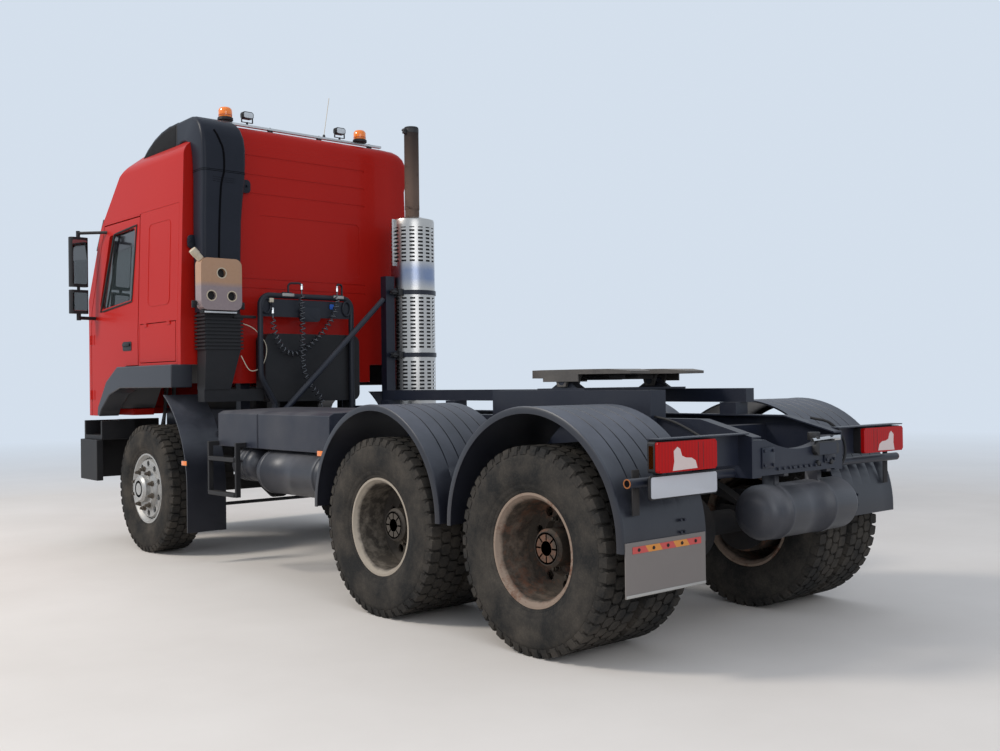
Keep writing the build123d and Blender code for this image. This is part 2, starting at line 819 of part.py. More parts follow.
def rear_air_tank():
    radius, station, height = 147, FRAME_REAR - 110, 715
    shape = Pos(-150, station, height) * vessel(876, radius)
    for middle in (-300, 110):
        shape += rod((middle - 20, station, height), (middle + 20, station, height), radius + 5)
        shape += block((middle - 20, middle + 20), (station - 40, station + 40), (height + 100, RAIL_BOTTOM))
        tab = (RAIL_BOTTOM - 8, RAIL_BOTTOM + RAIL_WEB)
        shape += block((middle - 20, middle + 20), (station - 40, FRAME_REAR - 10), tab)
    return shape


# Left side
COVER_Z = 960
BOX_FRONT = 1245
BOX_REAR = MID_AXLE - 750
BOX_SPLIT = 1870


def left_box():
    """Battery box and covered locker along the left rail."""
    outline = closed((RAIL_OUT, COVER_Z), (1100, COVER_Z), (1100, 1215), (1060, 1235), (RAIL_OUT, 1250))
    shape = from_front(outline, (BOX_FRONT, BOX_REAR))
    return shape - block((1090, 1110), (BOX_SPLIT - 10, BOX_SPLIT + 10), (900, 1300))


def left_air_tanks():
    shape = None
    # Front end, rear end, radius and height of each tank
    for low, high, radius, height in (
        (BOX_SPLIT + 10, BOX_REAR - 20, 160, 795),
        (BOX_FRONT + 215, BOX_SPLIT - 70, 125, 830),
    ):
        tank = Pos(1000, (low + high) / 2, height) * Rot(Z=90) * vessel(high - low, radius)
        for station in (low + 120, high - 120):
            tank += rod((1000, station - 20, height), (1000, station + 20, height), radius + 4)
            tank += block((980, 1020), (station - 20, station + 20), (height, COVER_Z))
        shape = tank if shape is None else shape + tank
    return shape


def ladder():
    shape = None
    front, rear = BOX_FRONT + 5, BOX_FRONT + 445
    for station in (front, rear):
        post = block((1150, 1190), (station - 12, station + 12), (590, COVER_Z + 40))
        post += block((1100, 1190), (station - 12, station + 12), (COVER_Z + 5, COVER_Z + 40))
        shape = post if shape is None else shape + post
    for height in (605, 870):
        shape += block((1140, 1200), (front + 12, rear - 12), (height - 15, height + 15))
    return shape


def fuel_tank():
    outline = rounded(110, (-1225, 620), (-640, 620), (-640, 1190), (-1225, 1190))
    front, rear = 1320, MID_AXLE - 820
    shape = from_front(outline, (front, rear))
    for station in (front + 180, rear - 180):
        band = rounded(116, (-1231, 614), (-634, 614), (-634, 1196), (-1231, 1196))
        shape += from_front(band, (station - 25, station + 25))
        shape += block((-634, -RAIL_OUT), (station - 40, station + 40), (925, 1150))
    return shape


# Curly hoses that hang on the rack: each is drawn as its coil's outer form
HANG_Y = RACK_Y + 38
LOW_Y = HOSE_FRONT_Y - 2 * HOSE_RADIUS - 6
HOSES = {
    "hose_middle": (
        (196, HOSE_FRONT_Y, 2240),
        (196, HOSE_FRONT_Y, 2085),
        (189, HOSE_FRONT_Y, 1900),
        (195, HOSE_FRONT_Y, 1720),
        (188, HOSE_FRONT_Y, 1570),
        (140, HOSE_FRONT_Y, 1455),
        (70, HOSE_FRONT_Y, 1370),
        (8, HOSE_FRONT_Y, 1310),
        (8, HOSE_FRONT_Y, 1230),
    ),
    "hose_hanging": (
        (462, HANG_Y, 2030),
        (462, HANG_Y, 1940),
        (432, HANG_Y - 12, 1850),
        (380, HANG_Y - 26, 1765),
        (310, LOW_Y, 1705),
        (225, LOW_Y - 1, 1690),
        (140, LOW_Y, 1725),
        (45, LOW_Y + 6, 1800),
        (-50, HANG_Y - 14, 1900),
        (-125, HANG_Y + 4, 2010),
        (-163, HANG_Y + 19, 2125),
        (-163, HANG_Y + 19, 2240),
    ),
}


def exhaust():
    """Silencer in its guard with the stack, post, foot and clamps."""
    shape = rod((STACK_X, STACK_Y, GUARD_BOTTOM), (STACK_X, STACK_Y, GUARD_TOP), GUARD_RADIUS)
    shape += rod((STACK_X, STACK_Y, GUARD_TOP), (STACK_X, STACK_Y, STACK_TOP), STACK_RADIUS)
    return shape


def exhaust_frame():
    foot = (STACK_Y - 130, STACK_Y + 130)
    shape = block((STACK_X - GUARD_RADIUS, -375), foot, (RAIL_TOP, GUARD_BOTTOM))
    shape += block((-720, -625), (1020, 1100), (GUARD_BOTTOM, 2400))
    for height in (1690, 2256):
        clamp = block((-745, -720), (1030, 1090), (height - 40, height + 40))
        clamp += rod((STACK_X, STACK_Y, height - 20), (STACK_X, STACK_Y, height + 20), GUARD_RADIUS + 8)
        clamp -= rod((STACK_X, STACK_Y, height - 60), (STACK_X, STACK_Y, height + 60), GUARD_RADIUS + SEAT)
        shape += clamp
    return shape


def brace():
    return rod((395, BRACE_Y, RAIL_TOP + 12), (-625 + 14, BRACE_Y, 2190), 24) - block(
        (-760, -625 + SEAT), (900, 1200), (2000, 2400)
    ) - block((300, 500), (900, 1200), (RAIL_TOP - 60, RAIL_TOP + SEAT))


def hose_rack():
    """Tubular rack with its panel and the stiff elbows that the hoses hang from."""
    left, right, top = 560, -345, 2190
    path = FilletPolyline(
        (430, RACK_Y, RAIL_TOP + SEAT),
        (430, RACK_Y, RAIL_TOP + 60),
        (left, RACK_Y, 1500),
        (left, RACK_Y, top),
        (right, RACK_Y, top),
        (right, RACK_Y, RAIL_TOP + SEAT),
        radius=[60, 200, 90, 90],
    )
    shape = tube(path, 24)
    shape += block((right, left), (RACK_Y - 12, RACK_Y + 6), (2010, 2160))
    for name, start, lift in (("hose_middle", 290, 60), ("hose_hanging", -250, 70)):
        end = HOSES[name][-1 if name == "hose_hanging" else 0]
        elbow = FilletPolyline(
            (start, RACK_Y, top + 10),
            (start, RACK_Y, end[2] + lift),
            (end[0], end[1], end[2] + lift),
            end,
            radius=28,
        )
        shape += tube(elbow, 9)
    first = HOSES["hose_hanging"][0]
    shape += rod((first[0], first[1], first[2]), (first[0], first[1], 2120), 9)
    shape += rod((first[0], RACK_Y, 2110), (first[0], first[1] + 8, 2110), 12)
    return shape


def hose_socket():
    """Socket on a cross member that the middle hose ends in."""
    x, y, z = HOSES["hose_middle"][-1]
    return rod((x, y, 1180), (x, y, z), 20)


CLEANER_LOW = RAIL_TOP + 73
CLEANER_TOP = CLEANER_LOW + 580
CLEANER_LEFT = 500


def air_cleaner():
    case = rounded(
        70, (-450, CLEANER_LOW), (CLEANER_LEFT, CLEANER_LOW), (CLEANER_LEFT, CLEANER_TOP), (-450, CLEANER_TOP)
    )
    shape = from_front(case, (765, 925))
    for x in (-385, 385):
        shape += block((x - 35, x + 35), (800, 900), (RAIL_TOP, CLEANER_LOW + 10))
    return shape


def bellows():
    ribs = None
    low, high, count = SNORKEL_LOW - 305, SNORKEL_LOW - 5, 10
    inlet = CLEANER_LOW + 110
    pitch = (high - low) / count
    shape = block((720, 1030), (755, 915), (low, high))
    for index in range(count):
        z = low + index * pitch
        shape += block((702, 1048), (742, 928), (z, z + pitch / 2))
    top = Plane.XY.offset(low) * Pos(875, 835) * Rectangle(310, 160)
    bottom = Plane.XY.offset(inlet) * Pos(925, 835) * Rectangle(230, 140)
    shape += loft([bottom, top])
    shape += block((CLEANER_LEFT + SEAT, 1040), (775, 895), (inlet - 100, inlet))
    return shape


# Cab
def cab_outer(wall):
    """The cab's outer form, or its inner form when wall is the panels' thickness."""
    rise = ROOF_TOP - ROOF_SEAM
    side = closed(
        (CAB_BACK - wall, CAB_LOW + wall),
        (CAB_BACK - wall, ROOF_TOP - rise * 0.197 - wall),
        (CAB_BACK - 120 - wall * 0.4, ROOF_TOP - rise * 0.03 - wall),
        (100, ROOF_TOP - wall),
        (-280, ROOF_TOP - rise * 0.136 - wall),
        (-600 + wall * 0.5, ROOF_TOP - rise * 0.409 - wall * 0.8),
        (-880 + wall * 0.8, ROOF_SEAM + rise * 0.152 - wall * 0.5),
        (-1010 + wall, ROOF_SEAM - 30),
        (-1390 + wall, 2000),
        (-1385 + wall, 1900),
        (-1320 + wall, CAB_LOW + wall),
    )
    corners = [0, 0, 0, 120, 120, 120, 120, 0]
    front = rounded(
        corners,
        (-CAB_HALF + wall, CAB_LOW - 300),
        (CAB_HALF - wall, CAB_LOW - 300),
        (CAB_HALF - wall, 1900),
        (CAB_TOP_HALF - wall, ROOF_TOP - rise / 3),
        (CAB_TOP_HALF - 250 - wall * 0.4, ROOF_TOP + 20 - wall),
        (-CAB_TOP_HALF + 250 + wall * 0.4, ROOF_TOP + 20 - wall),
        (-CAB_TOP_HALF + wall, ROOF_TOP - rise / 3),
        (-CAB_HALF + wall, 1900),
    )
    plan = make_face(
        rounded(
            180 - wall,
            (-CAB_HALF + wall, -1400 + wall),
            (CAB_HALF - wall, -1400 + wall),
            (CAB_HALF - wall, CAB_BACK + 200),
            (-CAB_HALF + wall, CAB_BACK + 200),
        )
    )
    shape = from_side(side, (-1400, 1400))
    shape &= from_front(front, (-1600, 900))
    shape &= extrude(Plane.XY.offset(900) * plan, amount=3000, dir=(0, 0, 1))
    return shape


def arch_outline(grow):
    """The (y, z) outline that the wheel arch takes out of the cab's side."""
    return closed(
        (-905 - grow, 900),
        (-835 - grow, 1250 + grow * 0.5),
        (-640 - grow * 0.7, 1480 + grow * 0.8),
        (-391 - grow * 0.5, SILL_Z + grow),
        (CAB_BACK + 300, SILL_Z + grow),
        (CAB_BACK + 300, 900),
    )


def door_outline(grow):
    """The door's (y, z) outline. Its lower edge keeps a gap over the arch trim."""
    lift = DOOR_GAP - grow
    return closed(
        (DOOR_FRONT - grow, DOOR_LOW - grow),
        (-850 - lift * 2.2, DOOR_LOW - grow),
        (-835 - lift * 1.3, 1250 + lift * 0.6),
        (-640 - lift * 0.9, 1480 + lift * 0.9),
        (-391, SILL_Z + lift),
        (DOOR_REAR + grow, SILL_Z + lift),
        (DOOR_REAR + grow, DOOR_TOP + grow),
        (-920 - grow * 0.5, DOOR_TOP + grow),
        (DOOR_FRONT - grow, 2150),
    )


def window_outline(grow):
    return rounded(
        45,
        (-1010 - grow, 2150 - grow),
        (-265 + grow, 2205 - grow),
        (-225 + grow, 2845 + grow),
        (-800 - grow, 2825 + grow),
    )


def screen_opening(inset):
    """The windscreen's opening, or its pane's outline when inset is a clearance."""
    low, high = 2030 + inset, 2880 - inset
    wide, narrow = 1000 - inset, 930 - inset
    outline = rounded(60 - inset, (-wide, low), (wide, low), (narrow, high), (-narrow, high))
    return from_front(outline, (-1600, -800))


def door_hinges():
    """Two hinge knuckles at the left door's front edge, with their leaves."""
    x = CAB_HALF + HINGE_OUT
    shape = None
    for height in (1360, 1880):
        ends = (height - 45, height + 45)
        part = rod((x, DOOR_FRONT, ends[0]), (x, DOOR_FRONT, ends[1]), HINGE_PIN)
        part += block((CAB_HALF - 10, CAB_HALF + 4), (DOOR_FRONT, DOOR_FRONT + 70), ends)
        shape = part if shape is None else shape + part
    return shape


def lid_hinges():
    """Two knuckles on the locker lid's upper edge, with their leaves."""
    x, z = CAB_HALF + 3, BELT_Z - LOCKER_GAP / 2
    shape = None
    for station in (40, 500):
        knuckle_ends = (station - 30, station + 30)
        part = rod((x, knuckle_ends[0], z), (x, knuckle_ends[1], z), LID_PIN)
        part += block((CAB_HALF - 6, x + 2), knuckle_ends, (z - 26, z))
        shape = part if shape is None else shape + part
    return shape


# Heights of the swages pressed across the cab's back
ROOF_SWAGES = (3400, 3235, 3075)
WALL_SWAGES = (2340, 2260)
SWAGE_DEEP = 5


def swages(heights):
    shape = None
    for height in heights:
        groove = block((-660, 660), (CAB_BACK - SWAGE_DEEP, CAB_BACK + 5), (height - 9, height + 9))
        shape = groove if shape is None else shape + groove
    return shape


def back_pressing():
    """Swages and the shallow panel with round corners in the back wall."""
    panel = rounded(45, (-600, 2410), (440, 2410), (440, 2900), (-600, 2900))
    return swages(WALL_SWAGES) + from_front(panel, (CAB_BACK - SWAGE_DEEP, CAB_BACK + 5))


GRILLE_SLOTS = 6
GRILLE_LOW = 1290
GRILLE_PITCH = 85
GRILLE_DEEP = 22


def grille_slots():
    """Air slots across the front panel, sunk into its slanted face."""
    shape = None
    for index in range(GRILLE_SLOTS):
        low = GRILLE_LOW + index * GRILLE_PITCH
        high = low + GRILLE_PITCH - 30
        lean = 65 / 735
        floor = -1385 + GRILLE_DEEP + lean * 1900
        slot = closed((-1500, low), (floor - lean * low, low), (floor - lean * high, high), (-1500, high))
        cut = from_side(slot, (-780, 780))
        shape = cut if shape is None else shape + cut
    return shape


def build_cab():
    outer = cab_outer(0)
    inner = cab_outer(CAB_WALL)
    shell = outer - inner
    arch = from_side(arch_outline(0), (TUNNEL_HALF, 1400))
    shell -= both(arch)
    shell -= block((-TUNNEL_HALF, TUNNEL_HALF), (-1250, CAB_BACK + 50), (900, CAB_MID_LOW))
    pieces = {}

    # Back wall
    back = block((-1300, 1300), (CAB_BACK - CAB_WALL, CAB_BACK + 50), (1000, ROOF_SEAM))
    pieces["cab_back_wall"] = (shell & back) - back_pressing()

    # Roof cap
    roof = block((-1300, 1300), (-1500, 1000), (ROOF_SEAM, 4000))
    pieces["cab_roof"] = (shell & roof) - swages(ROOF_SWAGES)

    rest = shell - back - roof
    # Left quarter panel behind the door
    quarter = block((900, 1300), (DOOR_REAR + DOOR_GAP, CAB_BACK), (1000, ROOF_SEAM))
    left_quarter = rest & quarter
    locker_ends = (DOOR_REAR + 40, CAB_BACK - 90)
    locker = block((CAB_HALF - DOOR_THICK, CAB_HALF + 50), locker_ends, (SILL_Z + 25, BELT_Z))
    lid = block(
        (CAB_HALF - 25, CAB_HALF + 50),
        (locker_ends[0] + LOCKER_GAP, locker_ends[1] - LOCKER_GAP),
        (SILL_Z + 25 + LOCKER_GAP, BELT_Z - LOCKER_GAP),
    )
    pieces["locker_lid_left"] = (left_quarter & lid) + lid_hinges()
    pieces["cab_side_left"] = left_quarter - locker

    # Door
    door_solid = outer & from_side(door_outline(0), (CAB_HALF - DOOR_THICK - 55, CAB_HALF + 60))
    door_solid -= inner
    door_solid -= block((900, CAB_HALF - DOOR_THICK), (DOOR_FRONT - 50, DOOR_REAR + 50), (1000, 1900))
    window = from_side(window_outline(0), (900, 1400))
    pieces["door_left"] = (door_solid - window) + door_hinges()
    glass_band = from_side(window_outline(-SEAT), (900, 1400))
    pane = cab_outer(26) - cab_outer(32)
    pieces["door_glass_left"] = pane & glass_band

    # Front with its pillars and header
    opening = from_side(door_outline(DOOR_GAP), (900, 1400))
    front = rest & block((-1300, 1300), (-1500, DOOR_REAR), (1000, ROOF_SEAM))
    front -= opening
    front -= other_side(opening)
    pieces["cab_front"] = front - screen_opening(0) - grille_slots()
    pieces["windscreen"] = (cab_outer(20) - cab_outer(28)) & screen_opening(SEAT)
    return pieces


def cab_floor():
    """Engine tunnel, footwells over the wheels and the lugs that the cab tilts on."""
    half = CAB_HALF - CAB_WALL - DOOR_GAP
    rear = CAB_BACK - CAB_WALL - SEAT
    wing = closed(
        (-1200, 1230),
        (-880, 1230),
        (-670, 1490),
        (-410, 1625),
        (rear, 1625),
        (rear, 1665),
        (-430, 1665),
        (-700, 1525),
        (-905, 1270),
        (-1200, 1270),
    )
    shape = both(from_side(wing, (TUNNEL_HALF, half)))
    shape += block((-TUNNEL_HALF, TUNNEL_HALF), (-1200, rear), (CAB_MID_LOW + 10, CAB_MID_LOW + 50))
    cheek = closed((-1200, 1230), (-880, 1230), (-670, 1490), (rear, 1490), (rear, 1665), (-1200, 1665))
    shape += both(from_side(cheek, (TUNNEL_HALF - 20, TUNNEL_HALF)))
    shape &= cab_outer(CAB_WALL + 2)
    lug = closed(
        (TILT_Y - 30, TILT_Z - 30),
        (TILT_Y + 30, TILT_Z - 30),
        (TILT_Y + 45, TILT_Z + 80),
        (TILT_Y + 130, CAB_MID_LOW + 10),
        (TILT_Y + 70, CAB_MID_LOW + 10),
        (TILT_Y + 32, CAB_LOW + 15),
        (TILT_Y - 30, TILT_Z + 30),
    )
    for x in (LUG_X - 40, LUG_X + 40):
        plate = from_side(lug, (x - 10, x + 10))
        plate -= rod((x - 20, TILT_Y, TILT_Z), (x + 20, TILT_Y, TILT_Z), TILT_PIN + SEAT)
        shape += both(plate)
    return shape


def tilt_brackets():
    """Brackets with the cross pins at the frame's front."""
    shape = block((LUG_X - 25, LUG_X + 25), (TILT_Y - 30, FRAME_FRONT + 10), (BUMPER_TOP + SEAT, TILT_Z + 28))
    shape += rod((LUG_X - 55, TILT_Y, TILT_Z), (LUG_X + 55, TILT_Y, TILT_Z), TILT_PIN)
    return both(shape)


def cab_mounts():
    """The arch behind the cab that its rear rests on."""
    leg = block((470, 560), (520, 600), (RAIL_TOP - 120, CAB_MID_LOW + 10))
    foot = block((RAIL_OUT, 560), (520, 600), (RAIL_TOP - 120, RAIL_TOP - 20))
    return both(leg + foot)


# On the cab
def snorkel():
    """Intake duct up the cab's back and over to its screen on the roof's shoulder."""
    back = CAB_BACK + SEAT
    duct = [
        Line((back, SNORKEL_LOW), (DUCT_REAR, SNORKEL_LOW)),
        Line((DUCT_REAR, SNORKEL_LOW), (DUCT_REAR_TOP, SNORKEL_LOW + DUCT_STRAIGHT)),
        Line((DUCT_REAR_TOP, SNORKEL_LOW + DUCT_STRAIGHT), (DUCT_REAR_TOP, SNORKEL_TOP - 230)),
        ThreePointArc((DUCT_REAR_TOP, SNORKEL_TOP - 230), (865, SNORKEL_TOP - 62), (700, SNORKEL_TOP)),
        Line((700, SNORKEL_TOP), (SCREEN_REAR, SNORKEL_TOP)),
        Line((SCREEN_REAR, SNORKEL_TOP), (SCREEN_REAR, SCREEN_LOW)),
        Line((SCREEN_REAR, SCREEN_LOW), (back, SCREEN_LOW)),
        Line((back, SCREEN_LOW), (back, SNORKEL_LOW)),
    ]
    shape = from_side(duct, (690, 1040))
    screen = [
        Line((SCREEN_REAR, SCREEN_LOW), (SCREEN_REAR, SNORKEL_TOP)),
        ThreePointArc((SCREEN_REAR, SNORKEL_TOP), (60, SNORKEL_TOP - 50), (-290, SNORKEL_TOP - 200)),
        Line((-290, SNORKEL_TOP - 200), (-260, SCREEN_LOW + 10)),
        Line((-260, SCREEN_LOW + 10), (SCREEN_REAR, SCREEN_LOW)),
    ]
    shape += from_side(screen, (760, 1035))
    return shape - cab_outer(-SEAT)


def header_tank():
    low, high, far = SNORKEL_LOW + 10, SNORKEL_LOW + 430, 1010
    near = DUCT_REAR + (DUCT_REAR_TOP - DUCT_REAR) * (high - SNORKEL_LOW) / DUCT_STRAIGHT + SEAT
    outline = rounded(60, (755, low), (1115, low), (1115, high), (755, high))
    shape = from_front(outline, (near, far))
    for x, z in ((935, high - 120), (845, low + 115), (1025, low + 115)):
        shape -= rod((x, far - 40, z), (x, far + 5, z), 38)
    middle = (near + far) / 2
    shape += rod((1070, middle, high - 35), (1150, middle, high + 45), 28)
    return shape


def roof_bar():
    """Bar on the roof with two work lamps, two beacons and the aerial."""
    shape = block((-930, 740), (585, 625), (BAR_Z, BAR_Z + 20))
    for x in (-800, -250, 250, 640):
        shape += block((x - 15, x + 15), (595, 615), (ROOF_TOP - 160, BAR_Z)) - cab_outer(-SEAT)
    for side in (-1, 1):
        shape += rod((side * 687, 620, BAR_Z + 20), (side * 687, 620, BAR_Z + 50), 66)
        shape += rod((side * 687, 620, BAR_Z + 50), (side * 687, 620, BEACON_TOP), 58)
        shape += rod((side * 473, 600, BAR_Z + 20), (side * 473, 600, BAR_Z + 50), 10)
        shape += block((side * 473 - 50, side * 473 + 50), (575, 635), (BAR_Z + 50, BAR_Z + 130))
    shape += rod((AERIAL_X, 605, BAR_Z + 15), (AERIAL_X, 605, BAR_Z + 45), 16)
    shape += rod((AERIAL_X, 605, BAR_Z + 40), (AERIAL_X - 59, 605, AERIAL_TOP), 4)
    return shape


def visor():
    shade = closed((-1085, 3020), (-1070, 3012), (-1245, 2735), (-1262, 2742))
    shape = from_side(shade, (-1080, 1080))
    arm = from_side(closed((-1105, 2960), (-1105, 2940), (-850, 2960), (-850, 2985)), (-8, 8))
    for x in (-900, -300, 300, 900):
        shape += Pos(x, 0, 0) * arm - cab_outer(-SEAT)
    return shape


def arch_trim():
    trim = closed(
        (CAB_BACK, SILL_Z - SEAT),
        (-391, SILL_Z - SEAT),
        (-640 + SEAT, 1480),
        (-835 + SEAT, 1250),
        (-850, 1175),
        (-800, 1165),
        (-760, 1225),
        (-570, 1360),
        (-330, 1420),
        (CAB_BACK, 1420),
    )
    return both(from_side(trim, (1060, 1245)))


def seats():
    shape = None
    for x in (-620, 620):
        seat = block((x - 170, x + 170), (-420, -60), (1680, 1790))
        seat += block((x - 240, x + 240), (-480, 0), (1790, 1930))
        seat += from_side(
            closed((-80, 1930), (20, 1930), (110, 2620), (30, 2620)),
            (x - 230, x + 230),
        )
        seat += block((x - 170, x + 170), (-420, -60), (1665, 1680))
        shape = seat if shape is None else shape + seat
    bunk = block((-1090, 1090), (130, CAB_BACK - CAB_WALL - SEAT), (1665, 2020))
    return shape + bunk


def dashboard():
    panel = closed((-1200, 1665), (-900, 1665), (-900, 1900), (-960, 2010), (-1200, 2010))
    shape = from_side(panel, (-1090, 1090))
    rim = [(225 + 16 * math.cos(turn), 16 * math.sin(turn)) for turn in (0, 1.05, 2.09, 3.14, 4.19, 5.24)]
    ring = revolve(Plane.XZ * make_face(closed(*rim)), axis=Axis.Z, revolution_arc=360)
    wheel = Pos(620, -690, 2060) * Rot(X=-28) * ring
    column = rod((620, -930, 1920), (620, -690, 2060), 28)
    spoke = Pos(620, -690, 2060) * Rot(X=-28) * Box(450, 40, 18)
    return shape + wheel + column + spoke


def mirror_left():
    """Two heads on arms from the door."""
    head = rounded(30, (1235, -1120), (1405, -1120), (1405, -1040), (1235, -1040))
    shape = from_above(head, (2370, 2830)) + from_above(head, (2120, 2340))
    reach = 1320
    arms = rod((1060, -800, 2870), (reach, -1080, 2870), 14)
    arms += rod((reach, -1080, 2820), (reach, -1080, 2890), 18)
    arms += rod((reach, -1080, 2330), (reach, -1080, 2380), 14)
    arms += rod((1060, -1120, 2080), (reach, -1080, 2080), 16)
    arms += rod((reach, -1080, 2058), (reach, -1080, 2125), 20)
    return shape + (arms - cab_outer(-SEAT))


def hose(points):
    """A fat tube of straight runs joined by arcs as large as the runs allow."""
    points = [Vector(*point) for point in points]
    radii = []
    for before, here, after in zip(points, points[1:], points[2:]):
        turn = math.radians((here - before).get_angle(after - here))
        run = min((here - before).length, (after - here).length)
        radii.append(0.45 * run / math.tan(turn / 2))
    print("hose radii", [round(radius) for radius in radii])
    path = FilletPolyline(*points, radius=radii)
    shape = tube(path, HOSE_RADIUS)
    print("hose volume over section times length", shape.volume / (math.pi * HOSE_RADIUS**2 * path.length))
    return shape


def main():
    tyre_left = Pos(FRONT_TRACK_HALF, 0, AXLE_Z) * tyre()
    rim_left = front_rim()
    step = step_housing()
    wing = front_guard()
    bogie_guards = guard(MID_GUARD, GUARD_LOW, GUARD_LOW) + guard(LAST_GUARD, GUARD_LOW, GUARD_LOW - 20)
    nodes = {
        "tyre_front_left": tyre_left,
        "tyre_front_right": other_side(tyre_left),
        "rim_front_left": rim_left,
        "rim_front_right": other_side(rim_left),
        "frame": frame() + tilt_brackets() + cab_mounts() + rear_crossbeam() + hose_socket(),
        "subframe": subframe() + fifth_wheel_base(),
        "fifth_wheel_plate": fifth_wheel_plate(),
        "engine": engine(),
        "drive_line": gearbox() + prop_shafts(),
        "front_axle": front_axle(),
        "rear_axles": rear_axle(MID_AXLE, True) + rear_axle(LAST_AXLE, False),
        "springs": front_springs() + bogie_springs(),
        "knuckle_left": knuckle(),
        "knuckle_right": other_side(knuckle()),
        "tie_rod": tie_rod(),
        "bumper": bumper(),
        "steps": both(step) + ladder(),
        "front_guards": both(wing),
        "rear_guards": both(bogie_guards),
        "tail_brackets": guard_tubes() + lamp_brackets(),
        "rear_flap": rear_flap(),
        "lamps": tail_lamps() + headlamps(),
        "air_tanks": rear_air_tank() + left_air_tanks(),
        "left_box": left_box(),
        "fuel_tank": fuel_tank(),
        "exhaust": exhaust(),
        "exhaust_frame": exhaust_frame() + brace(),
        "hose_rack": hose_rack(),
        "air_intake": air_cleaner() + bellows(),
        "cab_floor": cab_floor(),
        "snorkel": snorkel(),
        "header_tank": header_tank(),
        "roof_bar": roof_bar(),
        "visor": visor(),
        "arch_trims": arch_trim(),
        "cab_interior": seats() + dashboard(),
        "mirror_left": mirror_left(),
        "mirror_right": other_side(mirror_left()),
    }
    for name, station in (("mid", MID_AXLE), ("last", LAST_AXLE)):
        for side, turn in (("left", lambda shape: shape), ("right", other_side)):
            nodes[f"tyres_{name}_{side}"] = Pos(0, station, 0) * turn(twin_tyres())
            nodes[f"rims_{name}_{side}"] = Pos(0, station, 0) * turn(rear_rims())
    for node, shape in build_cab().items():
        if node == "cab_side_left":
            nodes["cab_sides"] = both(shape)
            continue
        nodes[node] = shape
        if node.endswith("_left"):
            nodes[node.replace("_left", "_right")] = other_side(shape)
    for name, points in HOSES.items():
        nodes[name] = hose(points)
    for node, shape in nodes.items():
        write(node, shape)


main()
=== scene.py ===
import json
import math

import bmesh
import bpy
from mathutils import Matrix, Vector
from mathutils.bvhtree import BVHTree


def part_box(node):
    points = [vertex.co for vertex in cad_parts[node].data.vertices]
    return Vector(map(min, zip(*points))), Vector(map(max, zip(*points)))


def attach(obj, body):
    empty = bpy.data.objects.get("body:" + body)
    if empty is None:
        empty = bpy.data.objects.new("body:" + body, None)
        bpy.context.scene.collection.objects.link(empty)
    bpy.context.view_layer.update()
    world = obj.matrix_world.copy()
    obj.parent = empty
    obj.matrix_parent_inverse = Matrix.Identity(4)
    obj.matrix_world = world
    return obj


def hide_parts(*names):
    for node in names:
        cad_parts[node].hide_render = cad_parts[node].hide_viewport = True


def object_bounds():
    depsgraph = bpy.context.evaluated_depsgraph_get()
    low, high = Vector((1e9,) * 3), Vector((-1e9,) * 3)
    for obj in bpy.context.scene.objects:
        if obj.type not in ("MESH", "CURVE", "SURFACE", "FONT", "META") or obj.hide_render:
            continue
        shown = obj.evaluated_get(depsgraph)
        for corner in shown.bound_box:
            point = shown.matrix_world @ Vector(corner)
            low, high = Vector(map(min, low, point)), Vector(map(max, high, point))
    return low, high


bl_info = {
    "name": "Tractor Unit Finish",
    "version": (1, 0, 0),
    "blender": (4, 5, 0),
    "location": "View3D > Sidebar > Tractor Unit",
    "description": "Finishes a six wheel drive tractor unit around its packed frame",
    "category": "Object",
}

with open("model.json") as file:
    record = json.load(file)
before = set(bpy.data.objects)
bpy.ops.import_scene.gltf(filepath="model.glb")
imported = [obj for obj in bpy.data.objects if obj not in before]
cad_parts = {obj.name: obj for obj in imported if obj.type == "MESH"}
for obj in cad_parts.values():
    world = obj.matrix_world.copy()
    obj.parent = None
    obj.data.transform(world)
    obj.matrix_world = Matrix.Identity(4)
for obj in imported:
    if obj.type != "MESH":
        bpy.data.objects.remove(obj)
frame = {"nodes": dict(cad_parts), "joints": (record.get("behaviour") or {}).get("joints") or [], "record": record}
CAD_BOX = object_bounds()

# Places that many pieces share, in metres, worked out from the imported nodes
JOINTS = {joint["name"]: joint for joint in frame["joints"]}
AXLE_Y = {"front": JOINTS["spin_front_left"]["pos_m"][1], "mid": JOINTS["spin_mid_left"]["pos_m"][1],
          "last": JOINTS["spin_last_left"]["pos_m"][1]}
AXLE_Z = JOINTS["spin_front_left"]["pos_m"][2]
FRONT_WHEEL_X = JOINTS["spin_front_left"]["pos_m"][0]
TYRE_RADIUS = (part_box("tyre_front_left")[1].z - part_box("tyre_front_left")[0].z) / 2
TYRE_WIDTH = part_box("tyre_front_left")[1].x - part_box("tyre_front_left")[0].x
TWIN_OUT_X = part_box("tyres_mid_left")[1].x - TYRE_WIDTH / 2
TWIN_IN_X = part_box("tyres_mid_left")[0].x + TYRE_WIDTH / 2


# Shapes
def mesh_from(part, name):
    """The mesh of a bmesh, which is used up."""
    mesh = bpy.data.meshes.new(name)
    part.to_mesh(mesh)
    part.free()
    return mesh


def linked(name, data):
    """A new object in the scene."""
    obj = bpy.data.objects.new(name, data)
    bpy.context.scene.collection.objects.link(obj)
    return obj


def evaluated(holder):
    """The mesh that an object's modifiers make. The object goes."""
    bpy.context.view_layer.update()
    mesh = bpy.data.meshes.new_from_object(holder.evaluated_get(bpy.context.evaluated_depsgraph_get()))
    bpy.data.objects.remove(holder)
    return mesh


def bridge(part, rings, closed=False):
    """Faces between rings of as many vertices each."""
    for a, b in [*zip(rings, rings[1:]), *([(rings[-1], rings[0])] if closed else [])]:
        for step in range(len(a)):
            after = (step + 1) % len(a)
            part.faces.new((a[step], a[after], b[after], b[step]))


